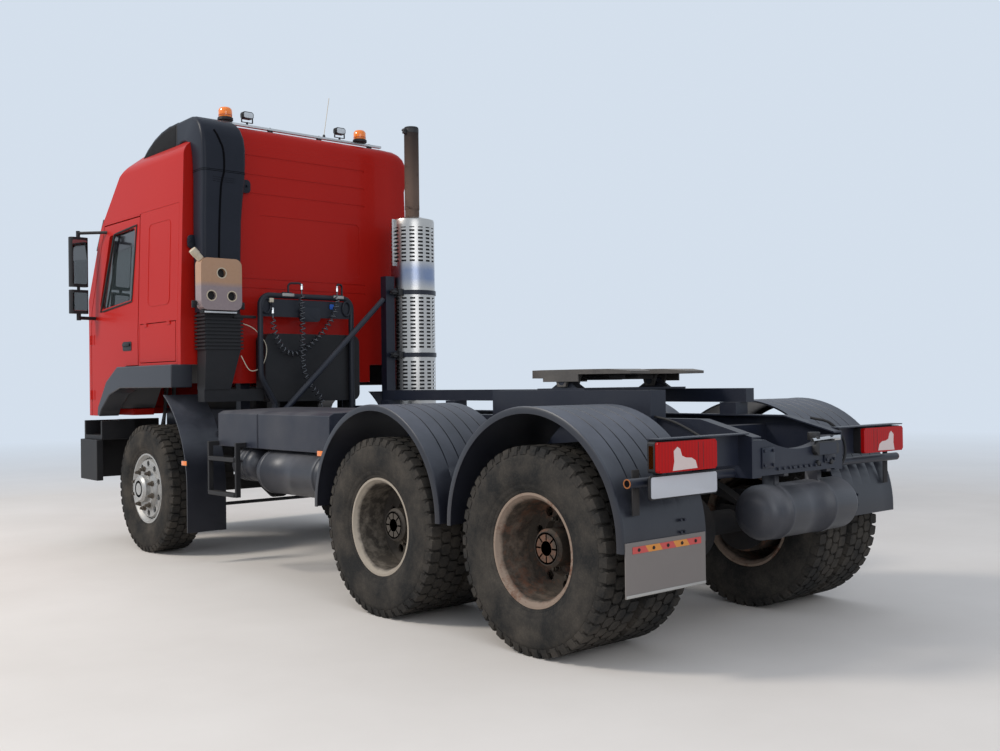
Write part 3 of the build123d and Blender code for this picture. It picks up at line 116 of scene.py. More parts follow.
def turns(count):
    """Even angles round a circle."""
    return [step * math.tau / count for step in range(count)]


def span(side, a, b):
    """Two distances from the middle line as a low and a high x on one side of the truck."""
    return sorted((side * a, side * b))


def bevelled(part, edges, width):
    bmesh.ops.bevel(part, geom=edges, offset=width, segments=2, affect="EDGES", profile=0.5)


class Shape:
    """Collects closed shells for one piece. Every shell's faces are turned outwards before it is added."""

    def __init__(self):
        self.bm = bmesh.new()

    def add(self, part):
        bmesh.ops.recalc_face_normals(part, faces=part.faces)
        mesh = mesh_from(part, "part")
        self.bm.from_mesh(mesh)
        bpy.data.meshes.remove(mesh)

    def box(self, low, high, bevel=0.0, turn=None):
        part = bmesh.new()
        low, high = Vector(low), Vector(high)
        turned = turn.to_4x4() if turn else Matrix()
        where = Matrix.Translation((low + high) / 2) @ turned @ Matrix.Diagonal((*(high - low), 1))
        bmesh.ops.create_cube(part, size=1, matrix=where)
        if bevel:
            bevelled(part, part.edges[:], bevel)
        self.add(part)

    def prism(self, outline, axis, low, high, bevel=0.0):
        """An outline carried along an axis: x takes (y, z) pairs, y takes (x, z), z takes (x, y)."""
        part = bmesh.new()
        slot = "xyz".index(axis)
        near, far = ([part.verts.new((*pair[:slot], along, *pair[slot:])) for pair in outline]
                     for along in (low, high))
        part.faces.new(near)
        part.faces.new(far)
        bridge(part, (near, far))
        if bevel:
            bevelled(part, part.edges[:], bevel)
        self.add(part)

    def lathe(self, profile, origin, axis="x", steps=64, closed=False):
        """A profile of (along, radius) turned about an axis; an open one ends on the axis."""
        part = bmesh.new()
        rings = []
        for along, radius in profile:
            if radius < 1e-6:
                rings.append([part.verts.new(self.turned(along, 0, 0, axis, origin))])
                continue
            ring = [self.turned(along, radius, angle, axis, origin) for angle in turns(steps)]
            rings.append([part.verts.new(point) for point in ring])
        pairs = list(zip(rings, rings[1:]))
        if closed:
            pairs.append((rings[-1], rings[0]))
        for a, b in pairs:
            for step in range(steps):
                after = (step + 1) % steps
                corners = []
                for vert in (a[step % len(a)], a[after % len(a)], b[after % len(b)], b[step % len(b)]):
                    if vert not in corners:
                        corners.append(vert)
                if len(corners) > 2:
                    part.faces.new(corners)
        self.add(part)

    def band(self, low, high, inner, outer, origin, axis="z", steps=40):
        """A flat ring between two radii."""
        profile = [(low, inner), (low, outer), (high, outer), (high, inner)]
        self.lathe(profile, origin, axis, steps, closed=True)

    @staticmethod
    def turned(along, radius, angle, axis, origin):
        c, s = radius * math.cos(angle), radius * math.sin(angle)
        spot = {"x": (along, c, s), "y": (s, along, c), "z": (c, s, along)}[axis]
        return Vector(origin) + Vector(spot)

    def rod(self, start, end, radius, sides=16, far_radius=None, bevel=0.0):
        part = bmesh.new()
        start, end = Vector(start), Vector(end)
        along = end - start
        place = Matrix.Translation((start + end) / 2) @ along.to_track_quat("Z", "Y").to_matrix().to_4x4()
        bmesh.ops.create_cone(part, cap_ends=True, segments=sides, radius1=radius,
                              radius2=radius if far_radius is None else far_radius, depth=along.length,
                              matrix=place)
        if bevel:
            rims = [edge for edge in part.edges if any(len(face.verts) > 4 for face in edge.link_faces)]
            bevelled(part, rims, bevel)
        self.add(part)

    def tube(self, points, radius, sides=12, closed=False):
        """A round tube through points, with its section carried along without twist."""
        part = bmesh.new()
        points = [Vector(point) for point in points]
        rings, side = [], None
        count = len(points)
        for index, point in enumerate(points):
            before = points[index - 1] if index or closed else point
            after = points[(index + 1) % count] if index + 1 < count or closed else point
            ahead = (after - before).normalized()
            if side is None:
                side = ahead.orthogonal().normalized()
            side = (side - ahead * side.dot(ahead)).normalized()
            up = ahead.cross(side)
            rings.append([part.verts.new(point + (side * math.cos(t) + up * math.sin(t)) * radius)
                          for t in turns(sides)])
        bridge(part, rings, closed)
        if not closed:
            part.faces.new(rings[0])
            part.faces.new(rings[-1])
        self.add(part)

    def loft(self, sections):
        """Sections of equal point counts, joined in order and closed at both ends."""
        part = bmesh.new()
        rings = [[part.verts.new(point) for point in section] for section in sections]
        bridge(part, rings)
        part.faces.new(rings[0])
        part.faces.new(rings[-1])
        self.add(part)

    def mirrored(self):
        """Adds the same shells again on the other side of the truck."""
        part = self.bm.copy()
        for vert in part.verts:
            vert.co.x = -vert.co.x
        self.add(part)

    def mesh(self, name):
        return mesh_from(self.bm, name)

    def piece(self, name, body, slot, look, replaces=(), smooth=35.0):
        return place(name, self.mesh(name), body, slot, look, replaces, smooth)


def place(name, mesh, body, slot, look, replaces=(), smooth=35.0):
    """Links a mesh, gives it its material and makes it ride on its body; smooth is None for a dressed one."""
    obj = linked(name, mesh)
    mesh.materials.clear()
    mesh.materials.append(LOOKS.get(look))
    for polygon in mesh.polygons:
        polygon.use_smooth = True
        polygon.material_index = 0
    if smooth is not None:
        mesh.set_sharp_from_angle(angle=math.radians(smooth))
    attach(obj, body)
    if replaces:
        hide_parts(*replaces)
    return obj


def rounded(low, high, radius, steps=5):
    """A rounded rectangle's outline, counterclockwise, from (a, b) corners."""
    points = []
    for (ca, cb), start in (((high[0], high[1]), 0), ((low[0], high[1]), 90), ((low[0], low[1]), 180),
                            ((high[0], low[1]), 270)):
        a = ca - radius if ca == high[0] else ca + radius
        b = cb - radius if cb == high[1] else cb + radius
        for step in range(steps + 1):
            turn = math.radians(start + 90 * step / steps)
            points.append((a + radius * math.cos(turn), b + radius * math.sin(turn)))
    return points


def smooth_line(points, steps=8):
    """Points of a smooth line through the given ones."""
    points = [Vector(point) for point in points]
    full = [2 * points[0] - points[1], *points, 2 * points[-1] - points[-2]]
    line = []
    for index in range(len(points) - 1):
        a, b, c, d = full[index:index + 4]
        for step in range(steps):
            t = step / steps
            line.append(0.5 * (2 * b + (c - a) * t + (2 * a - 5 * b + 4 * c - d) * t * t
                               + (3 * b - a - 3 * c + d) * t ** 3))
    return [*line, points[-1]]


# Shader nodes
class Graph:
    """Short calls for building one node tree."""

    def __init__(self, tree):
        self.tree = tree

    def node(self, kind, settings=None, **inputs):
        made = self.tree.nodes.new(kind)
        for key, value in (settings or {}).items():
            setattr(made, key, value)
        for key, value in inputs.items():
            numbered = key[0] == "i" and key[1:].isdigit()
            self.put(made.inputs[int(key[1:]) if numbered else key.replace("_", " ")], value)
        return made

    def put(self, socket, value):
        if isinstance(value, bpy.types.NodeSocket):
            self.tree.links.new(value, socket)
        else:
            socket.default_value = value

    def math(self, operation, a, b=0.5, clamp=False):
        settings = {"operation": operation, "use_clamp": clamp}
        return self.node("ShaderNodeMath", settings, i0=a, i1=b).outputs[0]

    def plus(self, a, b, clamp=False):
        return self.math("ADD", a, b, clamp)

    def minus(self, a, b):
        return self.math("SUBTRACT", a, b)

    def times(self, a, b):
        return self.math("MULTIPLY", a, b)

    def mix(self, factor, a, b, blend="MIX"):
        made = self.node("ShaderNodeMix", {"data_type": "RGBA", "blend_type": blend}, i0=factor, i6=a, i7=b)
        return made.outputs[2]

    def ramp(self, value, low, high):
        return self.node("ShaderNodeMapRange", {"clamp": True}, i0=value, i1=low, i2=high).outputs[0]

    def noise(self, vector, scale, detail=4.0, roughness=0.55):
        return self.node("ShaderNodeTexNoise", Vector=vector, Scale=scale, Detail=detail,
                         Roughness=roughness).outputs["Fac"]

    def height(self, where):
        return self.node("ShaderNodeSeparateXYZ", Vector=where).outputs["Z"]


def group(name, inputs, outputs, kind="ShaderNodeTree"):
    """A node group with named sockets, its graph, and what it takes and gives."""
    tree = bpy.data.node_groups.new(name, kind)
    for label, sort, value in inputs:
        socket = tree.interface.new_socket(label, in_out="INPUT", socket_type=sort)
        if value is not None:
            socket.default_value = value
    for label, sort in outputs:
        tree.interface.new_socket(label, in_out="OUTPUT", socket_type=sort)
    given, out = tree.nodes.new("NodeGroupInput"), tree.nodes.new("NodeGroupOutput")
    return tree, Graph(tree), given.outputs, out.inputs


COLOUR, NUMBER, VECTOR = "NodeSocketColor", "NodeSocketFloat", "NodeSocketVector"


def dust_and_sheen_group():
    """Dust from the road that lies on faces turned up and in uneven patches; on the mudguards, the colour on faces
    turned up is a painted sheen of the sky.
    """
    tree, g, take, give = group(
        "Road dust", [("Place", VECTOR, None), ("Paint", COLOUR, (0.5, 0.5, 0.5, 1)),
         ("Dust", COLOUR, (0.4, 0.35, 0.28, 1)),
         ("Amount", NUMBER, 0.4), ("Settled", NUMBER, 0.4), ("Scale", NUMBER, 3.0),
         ("Roughness", NUMBER, 0.5)], [("Color", COLOUR), ("Roughness", NUMBER), ("Mask", NUMBER)],
    )
    patches = g.ramp(g.noise(take["Place"], take["Scale"], 6.0, 0.62), 0.38, 0.72)
    specks = g.ramp(g.noise(take["Place"], 90.0, 3.0, 0.7), 0.45, 0.75)
    normal = g.node("ShaderNodeNewGeometry").outputs["Normal"]
    upward = g.ramp(g.height(normal), 0.2, 0.95)
    film = g.times(take["Amount"], g.plus(patches, g.times(specks, 0.35)))
    # Colour on faces turned up: dust that lies there, and on the mudguards a painted sheen of the sky.
    top_dust_and_sheen = g.times(upward, take["Settled"])
    mask = g.plus(film, g.times(top_dust_and_sheen, g.plus(patches, 0.45)), clamp=True)
    g.put(give["Color"], g.mix(mask, take["Paint"], take["Dust"]))
    rough = g.plus(take["Roughness"], g.times(mask, 0.45), clamp=True)
    g.put(give["Roughness"], rough)
    g.put(give["Mask"], mask)
    return tree


def wear_group():
    """Uneven patches of a second colour, as rust, scuffs or old grease make."""
    tree, g, take, give = group(
        "Worn patches", [("Place", VECTOR, None), ("Paint", COLOUR, (0.5, 0.5, 0.5, 1)),
         ("Under", COLOUR, (0.2, 0.08, 0.03, 1)), ("Amount", NUMBER, 0.3), ("Scale", NUMBER, 6.0)],
        [("Color", COLOUR), ("Mask", NUMBER)],
    )
    wide = g.noise(take["Place"], take["Scale"], 8.0, 0.7)
    fine = g.noise(take["Place"], g.times(take["Scale"], 6.0), 5.0, 0.7)
    blotch = g.plus(g.times(wide, 0.7), g.times(fine, 0.3))
    low = g.minus(0.78, g.times(take["Amount"], 0.5))
    mask = g.ramp(blotch, low, g.plus(low, 0.1))
    g.put(give["Color"], g.mix(mask, take["Paint"], take["Under"]))
    g.put(give["Mask"], mask)
    return tree


def grain_group():
    """Fine height for moulded, cast or painted surfaces, with a little shade change."""
    tree, g, take, give = group(
        "Fine grain",
        [("Place", VECTOR, None), ("Paint", COLOUR, (0.5, 0.5, 0.5, 1)), ("Scale", NUMBER, 200.0),
         ("Shade", NUMBER, 0.1)], [("Color", COLOUR), ("Height", NUMBER)],
    )
    fine = g.noise(take["Place"], take["Scale"], 3.0, 0.6)
    wide = g.noise(take["Place"], g.times(take["Scale"], 0.02), 3.0, 0.5)
    shade = g.ramp(g.plus(g.times(wide, 0.7), g.times(fine, 0.3)), 0.3, 0.7)
    darker = g.mix(1.0, take["Paint"], (0.55, 0.55, 0.55, 1), "MULTIPLY")
    amount = g.times(g.minus(1.0, shade), take["Shade"])
    g.put(give["Color"], g.mix(amount, take["Paint"], darker))
    g.put(give["Height"], fine)
    return tree


class Looks:
    """The truck's materials, each made when a piece first asks for it."""

    def __init__(self):
        self.made = {}
        self.groups = {}

    def group(self, name):
        makers = {"dust": dust_and_sheen_group, "wear": wear_group, "grain": grain_group}
        if name not in self.groups:
            self.groups[name] = makers[name]()
        return self.groups[name]

    def get(self, name):
        if name not in self.made:
            settings = dict(FINISHES[name])
            if name in CHOSEN_PAINTS:
                settings["paint"] = getattr(bpy.context.scene.truck_sizes, CHOSEN_PAINTS[name])
            self.made[name] = finish(name, **settings)
        return self.made[name]


LOOKS = Looks()


def empty_material(name):
    """A new material with its graph and the object's own places."""
    material = bpy.data.materials.new(name)
    material.use_nodes = True
    material.node_tree.nodes.clear()
    g = Graph(material.node_tree)
    return material, g, g.node("ShaderNodeTexCoord").outputs["Object"]


def finish(name, paint, rough=0.5, metal=0.0, coat=0.0, dust=0.0, settled=0.0, dust_and_sheen_paint=(0.36, 0.31, 0.25),
           dust_scale=2.5, grain=200.0, shade=0.15, bump=0.0, wear=0.0, under=(0.1, 0.04, 0.02),
           wear_scale=6.0, through=0.0, index=1.5, spec=0.35, sheen=0.0, glow=0.0, extra=None):
    """A Principled material whose colour, roughness and height come from the shared groups."""
    material, g, where = empty_material(name)
    shader = g.node("ShaderNodeBsdfPrincipled", Metallic=metal, Coat_Weight=coat, Coat_Roughness=0.06,
                    IOR=index, Sheen_Weight=sheen, Transmission_Weight=through, Specular_IOR_Level=spec)
    colour = (*paint, 1.0)
    if extra:
        colour = extra(g, where, colour)
    grained = g.node("ShaderNodeGroup", {"node_tree": LOOKS.group("grain")}, Place=where, Paint=colour,
                     Scale=grain, Shade=shade)
    colour = grained.outputs["Color"]
    if wear:
        worn = g.node("ShaderNodeGroup", {"node_tree": LOOKS.group("wear")}, Place=where, Paint=colour,
                      Under=(*under, 1.0), Amount=wear, Scale=wear_scale)
        colour = worn.outputs["Color"]
    if dust or settled:
        dust_and_sheen_layer = g.node("ShaderNodeGroup", {"node_tree": LOOKS.group("dust")}, Place=where, Paint=colour,
                       Dust=(*dust_and_sheen_paint, 1.0), Amount=dust, Settled=settled, Scale=dust_scale,
                       Roughness=rough)
        colour = dust_and_sheen_layer.outputs["Color"]
        rough = dust_and_sheen_layer.outputs["Roughness"]
    g.put(shader.inputs["Roughness"], rough)
    g.put(shader.inputs["Base Color"], colour)
    if glow:
        g.put(shader.inputs["Emission Color"], colour)
        shader.inputs["Emission Strength"].default_value = glow
    if bump:
        height = g.node("ShaderNodeBump", Height=grained.outputs["Height"], Strength=min(1.0, bump * 400),
                        Distance=bump)
        g.put(shader.inputs["Normal"], height.outputs["Normal"])
    g.node("ShaderNodeOutputMaterial", Surface=shader.outputs[0])
    return material


def height_blend(low, high, lower):
    """A change of colour with height, from the lower paint to the finish's own."""

    def build(g, where, colour):
        z = g.height(where)
        wavy = g.plus(z, g.times(g.minus(g.noise(where, 5.0), 0.5), 0.02))
        return g.mix(g.ramp(wavy, low, high), (*lower, 1.0), colour)

    return build


def dish_shade_blend(axle, dish, flange_in=0.262, flange_out=0.276):
    """A rim's colour that changes from its near-black dish to the ring of its flange; the near-black dish is
    painted shade in the rim's deep middle.
    """

    def build(g, where, colour):
        middle = (0.0, AXLE_Y[axle], AXLE_Z)
        centre = g.node("ShaderNodeVectorMath", {"operation": "SUBTRACT"}, i0=where, i1=middle)
        flat = g.node("ShaderNodeVectorMath", {"operation": "MULTIPLY"}, i0=centre.outputs[0],
                      i1=(0.0, 1.0, 1.0))
        radius = g.node("ShaderNodeVectorMath", {"operation": "LENGTH"}, i0=flat.outputs[0]).outputs["Value"]
        uneven = g.times(g.minus(g.noise(where, 14.0, 5.0, 0.65), 0.5), 0.03)
        ring = g.ramp(g.plus(radius, uneven), flange_in, flange_out)
        return g.mix(ring, (*dish, 1.0), colour)

    return build


# Height of the heat stain's middle, and heights between which the stack darkens
STAIN_HEIGHT = 2.42
SOOT_FROM, SOOT_FULL = 3.2, 3.75


def heat_stain(g, where, colour):
    """Blue heat colour on the silencer guard's blank band."""
    z = g.height(where)
    near = g.minus(1.0, g.ramp(g.math("ABSOLUTE", g.minus(z, STAIN_HEIGHT)), 0.04, 0.13))
    cloud = g.plus(g.times(g.ramp(g.noise(where, 4.0, 3.0), 0.3, 0.6), 0.4), 0.6)
    return g.mix(g.times(g.times(near, cloud), 0.75), colour, (0.12, 0.19, 0.36, 1))


def soot(g, where, colour):
    """The stack darkens towards its mouth."""
    return g.mix(g.ramp(g.height(where), SOOT_FROM, SOOT_FULL), colour, (0.035, 0.028, 0.026, 1))


def fluted(g, where, colour):
    """Fine upright optics behind a lamp lens, as a small change of shade."""
    wave = g.node("ShaderNodeTexWave", {"wave_type": "BANDS", "bands_direction": "X"}, Vector=where,
                  Scale=14.0)
    return g.mix(g.times(wave.outputs["Fac"], 0.35), colour, (0.16, 0.01, 0.01, 1))


FILM = (0.115, 0.105, 0.095)
SETTLED = (0.145, 0.140, 0.140)
CLAY = (0.24, 0.20, 0.155)
FINISHES = {
    "cab_red": dict(rough=0.36, coat=0.07, spec=0.10, dust=0.03, settled=0.04,
                    dust_and_sheen_paint=(0.30, 0.10, 0.07), dust_scale=1.2, grain=60.0, shade=0.10),
    "rack_black": dict(paint=(0.009, 0.011, 0.018), rough=0.42, spec=0.3, dust=0.06, settled=0.12,
                       dust_and_sheen_paint=FILM),
    "navy": dict(rough=0.38, spec=0.35, dust=0.07, settled=0.36, dust_and_sheen_paint=SETTLED),
    "black_plastic": dict(paint=(0.012, 0.012, 0.014), rough=0.5, spec=0.25, dust=0.08, settled=0.2,
                          grain=700.0, bump=0.0002, dust_and_sheen_paint=FILM),
    "black_gloss": dict(paint=(0.010, 0.010, 0.012), rough=0.18, coat=0.4, dust=0.04, settled=0.08,
                        dust_and_sheen_paint=FILM),
    # On the mudguards the pale blue-grey on faces turned up is a painted sheen of the sky; the thin film all over
    # them is dust.
    "guard_plastic": dict(paint=(0.011, 0.012, 0.018), rough=0.34, spec=0.5, dust=0.05, settled=0.62,
                          dust_and_sheen_paint=(0.120, 0.126, 0.150), dust_scale=3.0, grain=500.0, bump=0.0002),
    "snorkel_plastic": dict(paint=(0.008, 0.010, 0.017), rough=0.40, spec=0.2, dust=0.06, settled=0.12,
                            grain=400.0, bump=0.0002, dust_and_sheen_paint=(0.07, 0.075, 0.10)),
    "tyre": dict(paint=(0.017, 0.017, 0.017), rough=0.85, spec=0.15, dust=0.48, settled=0.1,
                 dust_and_sheen_paint=(0.115, 0.098, 0.080), dust_scale=5.0, grain=300.0, bump=0.0003),
    "rim_silver": dict(rough=0.42, metal=0.55, dust=0.3, dust_and_sheen_paint=CLAY, wear=0.16,
                       under=(0.20, 0.10, 0.05), wear_scale=9.0),
    # The rims' dishes inside their flanges are painted near black: painted shade in their deep middles.
    "rim_beige": dict(paint=(0.36, 0.31, 0.25), rough=0.6, metal=0.1, dust=0.25, dust_and_sheen_paint=CLAY, wear=0.34,
                      under=(0.17, 0.085, 0.05), wear_scale=7.0,
                      extra=dish_shade_blend("mid", (0.045, 0.038, 0.032))),
    "rim_rusty": dict(paint=(0.27, 0.20, 0.155), rough=0.75, spec=0.2, dust=0.25, dust_and_sheen_paint=CLAY, wear=0.55,
                      under=(0.13, 0.055, 0.032), wear_scale=6.0, bump=0.0004, grain=120.0,
                      extra=dish_shade_blend("last", (0.036, 0.028, 0.023))),
    "hub_iron": dict(paint=(0.030, 0.027, 0.025), rough=0.7, metal=0.2, dust=0.40,
                     dust_and_sheen_paint=(0.12, 0.095, 0.075), wear=0.25, under=(0.085, 0.040, 0.024)),
    "nut_steel": dict(paint=(0.10, 0.085, 0.07), rough=0.55, metal=0.6, dust=0.35, dust_and_sheen_paint=CLAY, wear=0.4,
                      under=(0.12, 0.05, 0.03), wear_scale=40.0),
    "cast_iron": dict(paint=(0.020, 0.020, 0.022), rough=0.75, metal=0.1, spec=0.25, dust=0.35, settled=0.25,
                      dust_and_sheen_paint=(0.085, 0.072, 0.062), bump=0.0005, grain=160.0),
    "stainless": dict(paint=(0.50, 0.48, 0.455), rough=0.30, metal=1.0, dust=0.06,
                      dust_and_sheen_paint=(0.4, 0.37, 0.33), grain=300.0, extra=heat_stain),
    "stack_rust": dict(paint=(0.135, 0.092, 0.072), rough=0.85, spec=0.15, metal=0.15, wear=0.5,
                       under=(0.070, 0.045, 0.036), wear_scale=9.0, bump=0.0004, grain=180.0, extra=soot),
    "dark_steel": dict(paint=(0.028, 0.028, 0.030), rough=0.5, metal=0.4, dust=0.2, dust_and_sheen_paint=FILM),
    "greased_steel": dict(paint=(0.085, 0.078, 0.072), rough=0.42, metal=0.3, spec=0.3, dust=0.25,
                          settled=0.35, dust_and_sheen_paint=(0.30, 0.26, 0.22), wear=0.35,
                          under=(0.016, 0.015, 0.014), wear_scale=4.0),
    "bright_steel": dict(paint=(0.56, 0.56, 0.56), rough=0.25, metal=1.0, grain=300.0),
    "aluminium": dict(paint=(0.56, 0.56, 0.56), rough=0.38, metal=0.9, dust=0.12, settled=0.1,
                      dust_and_sheen_paint=CLAY, grain=350.0),
    "tank_navy": dict(paint=(0.014, 0.017, 0.029), rough=0.4, spec=0.35, dust=0.2, settled=0.3,
                      dust_and_sheen_paint=SETTLED),
    "dark_metal_tank": dict(paint=(0.016, 0.018, 0.026), rough=0.36, spec=0.5, dust=0.14, settled=0.5,
                            dust_and_sheen_paint=(0.16, 0.155, 0.16)),
    "bottle": dict(paint=(0.43, 0.24, 0.135), rough=0.36, coat=0.25, dust=0.12, grain=40.0, shade=0.5,
                   extra=height_blend(2.230, 2.275, (0.27, 0.205, 0.21))),
    "pale_plastic": dict(paint=(0.50, 0.42, 0.31), rough=0.45, dust=0.1),
    "rubber": dict(paint=(0.014, 0.014, 0.015), rough=0.6, spec=0.25, dust=0.15, settled=0.25,
                   dust_and_sheen_paint=FILM),
    "hose_black": dict(paint=(0.030, 0.033, 0.042), rough=0.22, spec=0.8, coat=0.5, dust=0.05,
                       dust_and_sheen_paint=SETTLED),
    "mesh_black": dict(paint=(0.010, 0.010, 0.012), rough=0.6, dust=0.12, dust_and_sheen_paint=FILM, grain=900.0,
                       bump=0.0004),
    "window_glass": dict(paint=(0.11, 0.14, 0.145), rough=0.02, through=0.85, index=1.45, spec=0.5),
    "window_film": dict(paint=(0.006, 0.006, 0.008), rough=0.12, coat=0.6),
    # The mirror glass is made dark: a painted dark reflection, darker than what a real mirror here would show.
    "mirror_glass": dict(paint=(0.20, 0.215, 0.23), rough=0.03, metal=1.0),
    "lamp_red": dict(paint=(0.40, 0.004, 0.004), rough=0.22, coat=0.06, spec=0.08, glow=0.02, extra=fluted),
    "lamp_amber": dict(paint=(0.80, 0.19, 0.010), rough=0.14, coat=0.8, dust=0.03, dust_and_sheen_paint=CLAY,
                       glow=0.10),
    "lamp_core": dict(paint=(0.42, 0.06, 0.006), rough=0.2, coat=0.6),
    "lamp_clear": dict(paint=(0.55, 0.57, 0.58), rough=0.08, coat=0.9, metal=0.4),
    "lamp_pale": dict(paint=(0.58, 0.47, 0.44), rough=0.2, coat=0.4),
    "flap_grey": dict(paint=(0.175, 0.155, 0.145), rough=0.65, spec=0.25, dust=0.35,
                      dust_and_sheen_paint=(0.20, 0.18, 0.165), wear=0.25, under=(0.085, 0.078, 0.074), wear_scale=4.0),
    "tape_red": dict(paint=(0.48, 0.045, 0.04), rough=0.3, coat=0.4, dust=0.12, dust_and_sheen_paint=CLAY),
    "tape_yellow": dict(paint=(0.58, 0.21, 0.02), rough=0.3, coat=0.4, dust=0.12, dust_and_sheen_paint=CLAY),
    "tag_blue": dict(paint=(0.02, 0.10, 0.42), rough=0.4, grain=300.0),
    "wire_pale": dict(paint=(0.50, 0.44, 0.34), rough=0.5, grain=300.0),
    "plate_white": dict(paint=(0.44, 0.45, 0.48), rough=0.35, spec=0.25, dust=0.08, dust_and_sheen_paint=CLAY),
    "seat_cloth": dict(paint=(0.035, 0.036, 0.042), rough=0.9, sheen=0.4, grain=900.0, bump=0.0006,
                       shade=0.5),
    "bunk_cloth": dict(paint=(0.10, 0.10, 0.12), rough=0.9, sheen=0.3, grain=800.0, bump=0.0006, shade=0.5),
    "trim_grey": dict(paint=(0.09, 0.09, 0.095), rough=0.7, grain=500.0, bump=0.0002),
    "seal_rubber": dict(paint=(0.012, 0.012, 0.012), rough=0.65, grain=400.0),
    # Near black: the colour of the duct's dark seams, and painted shade inside the guard tubes' open ends.
    "groove_black": dict(paint=(0.003, 0.003, 0.004), rough=0.8, spec=0.05, grain=300.0),
    "orange_rust": dict(paint=(0.30, 0.10, 0.028), rough=0.7, wear=0.3, under=(0.18, 0.06, 0.03),
                        wear_scale=20.0),
    "edge_pale": dict(paint=(0.40, 0.39, 0.37), rough=0.5, metal=0.4, dust=0.2, dust_and_sheen_paint=CLAY),
}
# Finishes whose paint the panel sets
CHOSEN_PAINTS = {"cab_red": "cab_paint", "navy": "chassis_paint", "rim_silver": "rim_paint"}
BACKDROP = (0.66, 0.74, 0.84, 1)


def floor_finish():
    """Pale concrete that fades into the backdrop far from the truck, so no horizon shows."""
    material, g, where = empty_material("floor")
    tone = g.ramp(g.noise(where, 0.6, 5.0, 0.6), 0.3, 0.7)
    paint = g.mix(tone, (0.66, 0.61, 0.56, 1), (0.72, 0.67, 0.62, 1))
    shader = g.node("ShaderNodeBsdfPrincipled", Base_Color=paint, Roughness=0.9)
    far = g.node("ShaderNodeEmission", Color=BACKDROP, Strength=1.0)
    distance = g.node("ShaderNodeVectorMath", {"operation": "LENGTH"}, i0=where).outputs["Value"]
    fade = g.math("POWER", g.ramp(distance, 8.0, 24.0), 0.7)
    both = g.node("ShaderNodeMixShader", i0=fade, i1=shader.outputs[0], i2=far.outputs[0])
    g.node("ShaderNodeOutputMaterial", Surface=both.outputs[0])
    return material


# Geometry Nodes
GEOMETRY, COUNT, MATERIAL = "NodeSocketGeometry", "NodeSocketInt", "NodeSocketMaterial"


def growing(name, settings):
    """A geometry node group that takes a mesh, its settings and a material."""
    return group(name, [("Geometry", GEOMETRY, None), *settings, ("Material", MATERIAL, None)],
                 [("Geometry", GEOMETRY)], "GeometryNodeTree")


def ring_tree():
    """Copies of the input turned about the X axis."""
    tree, g, take, give = growing("Ring of copies", [("Count", COUNT, 10)])
    line = g.node("GeometryNodeMeshLine", Count=take["Count"], Offset=(0, 0, 0))
    turn = g.math("DIVIDE", math.tau, take["Count"])
    angle = g.times(g.node("GeometryNodeInputIndex").outputs[0], turn)
    rotation = g.node("ShaderNodeCombineXYZ", X=angle)
    copies = g.node("GeometryNodeInstanceOnPoints", Points=line.outputs[0], Instance=take["Geometry"],
                    Rotation=rotation.outputs[0])
    real = g.node("GeometryNodeRealizeInstances", Geometry=copies.outputs[0])
    painted = g.node("GeometryNodeSetMaterial", Geometry=real.outputs[0], Material=take["Material"])
    g.put(give[0], painted.outputs[0])
    return tree


def slot_tree():
    """Removes a pattern of faces from a sheet's grid, so that rows of slots stay open."""
    tree, g, take, give = growing(
        "Rows of slots", [("Faces Round", COUNT, 120), ("Slot Faces", COUNT, 3),
                          ("Faces Per Slot", COUNT, 5)])
    number = g.node("GeometryNodeInputIndex").outputs[0]
    column = g.math("MODULO", number, take["Faces Round"])
    row = g.math("FLOOR", g.math("DIVIDE", number, take["Faces Round"]))
    in_slot = g.math("LESS_THAN", g.math("MODULO", column, take["Faces Per Slot"]), take["Slot Faces"])
    odd = g.math("GREATER_THAN", g.math("MODULO", row, 2.0), 0.5)
    blank = g.node("GeometryNodeInputNamedAttribute", {"data_type": "FLOAT"}, Name="blank").outputs[0]
    chosen = g.times(g.times(in_slot, odd), g.math("LESS_THAN", blank, 0.5))
    cut = g.node("GeometryNodeDeleteGeometry", {"domain": "FACE"}, Geometry=take["Geometry"],
                 Selection=chosen)
    painted = g.node("GeometryNodeSetMaterial", Geometry=cut.outputs[0], Material=take["Material"])
    g.put(give[0], painted.outputs[0])
    return tree


TREES = {}
TREE_MAKERS = {"ring": ring_tree, "slots": slot_tree}


def grown(mesh, kind, look, **inputs):
    """The plain mesh that one of the node trees makes from a mesh."""
    if kind not in TREES:
        TREES[kind] = TREE_MAKERS[kind]()
    tree = TREES[kind]
    obj = linked("growing", mesh)
    modifier = obj.modifiers.new("Grow", "NODES")
    modifier.node_group = tree
    names = {item.name: item.identifier for item in tree.interface.items_tree if item.in_out == "INPUT"}
    modifier[names["Material"]] = LOOKS.get(look)
    for key, value in inputs.items():
        modifier[names[key.replace("_", " ")]] = value
    made = evaluated(obj)
    bpy.data.meshes.remove(mesh)
    return made


def joined(name, *meshes):
    """One mesh from several, which are used up."""
    shape = bmesh.new()
    for mesh in meshes:
        shape.from_mesh(mesh)
        bpy.data.meshes.remove(mesh)
    return mesh_from(shape, name)


def moved(mesh, matrix, name):
    """A copy of a mesh, carried by a matrix; a mirrored copy's faces are turned back out."""
    copy = mesh.copy()
    copy.name = name
    copy.transform(matrix)
    if matrix.determinant() < 0:
        copy.flip_normals()
    return copy


MIRROR = Matrix.Diagonal((-1, 1, 1, 1))
# Triangles that lie as flat as this are joined; edges sharper than this are eased
FLAT = math.radians(0.8)
EASED = math.radians(32)


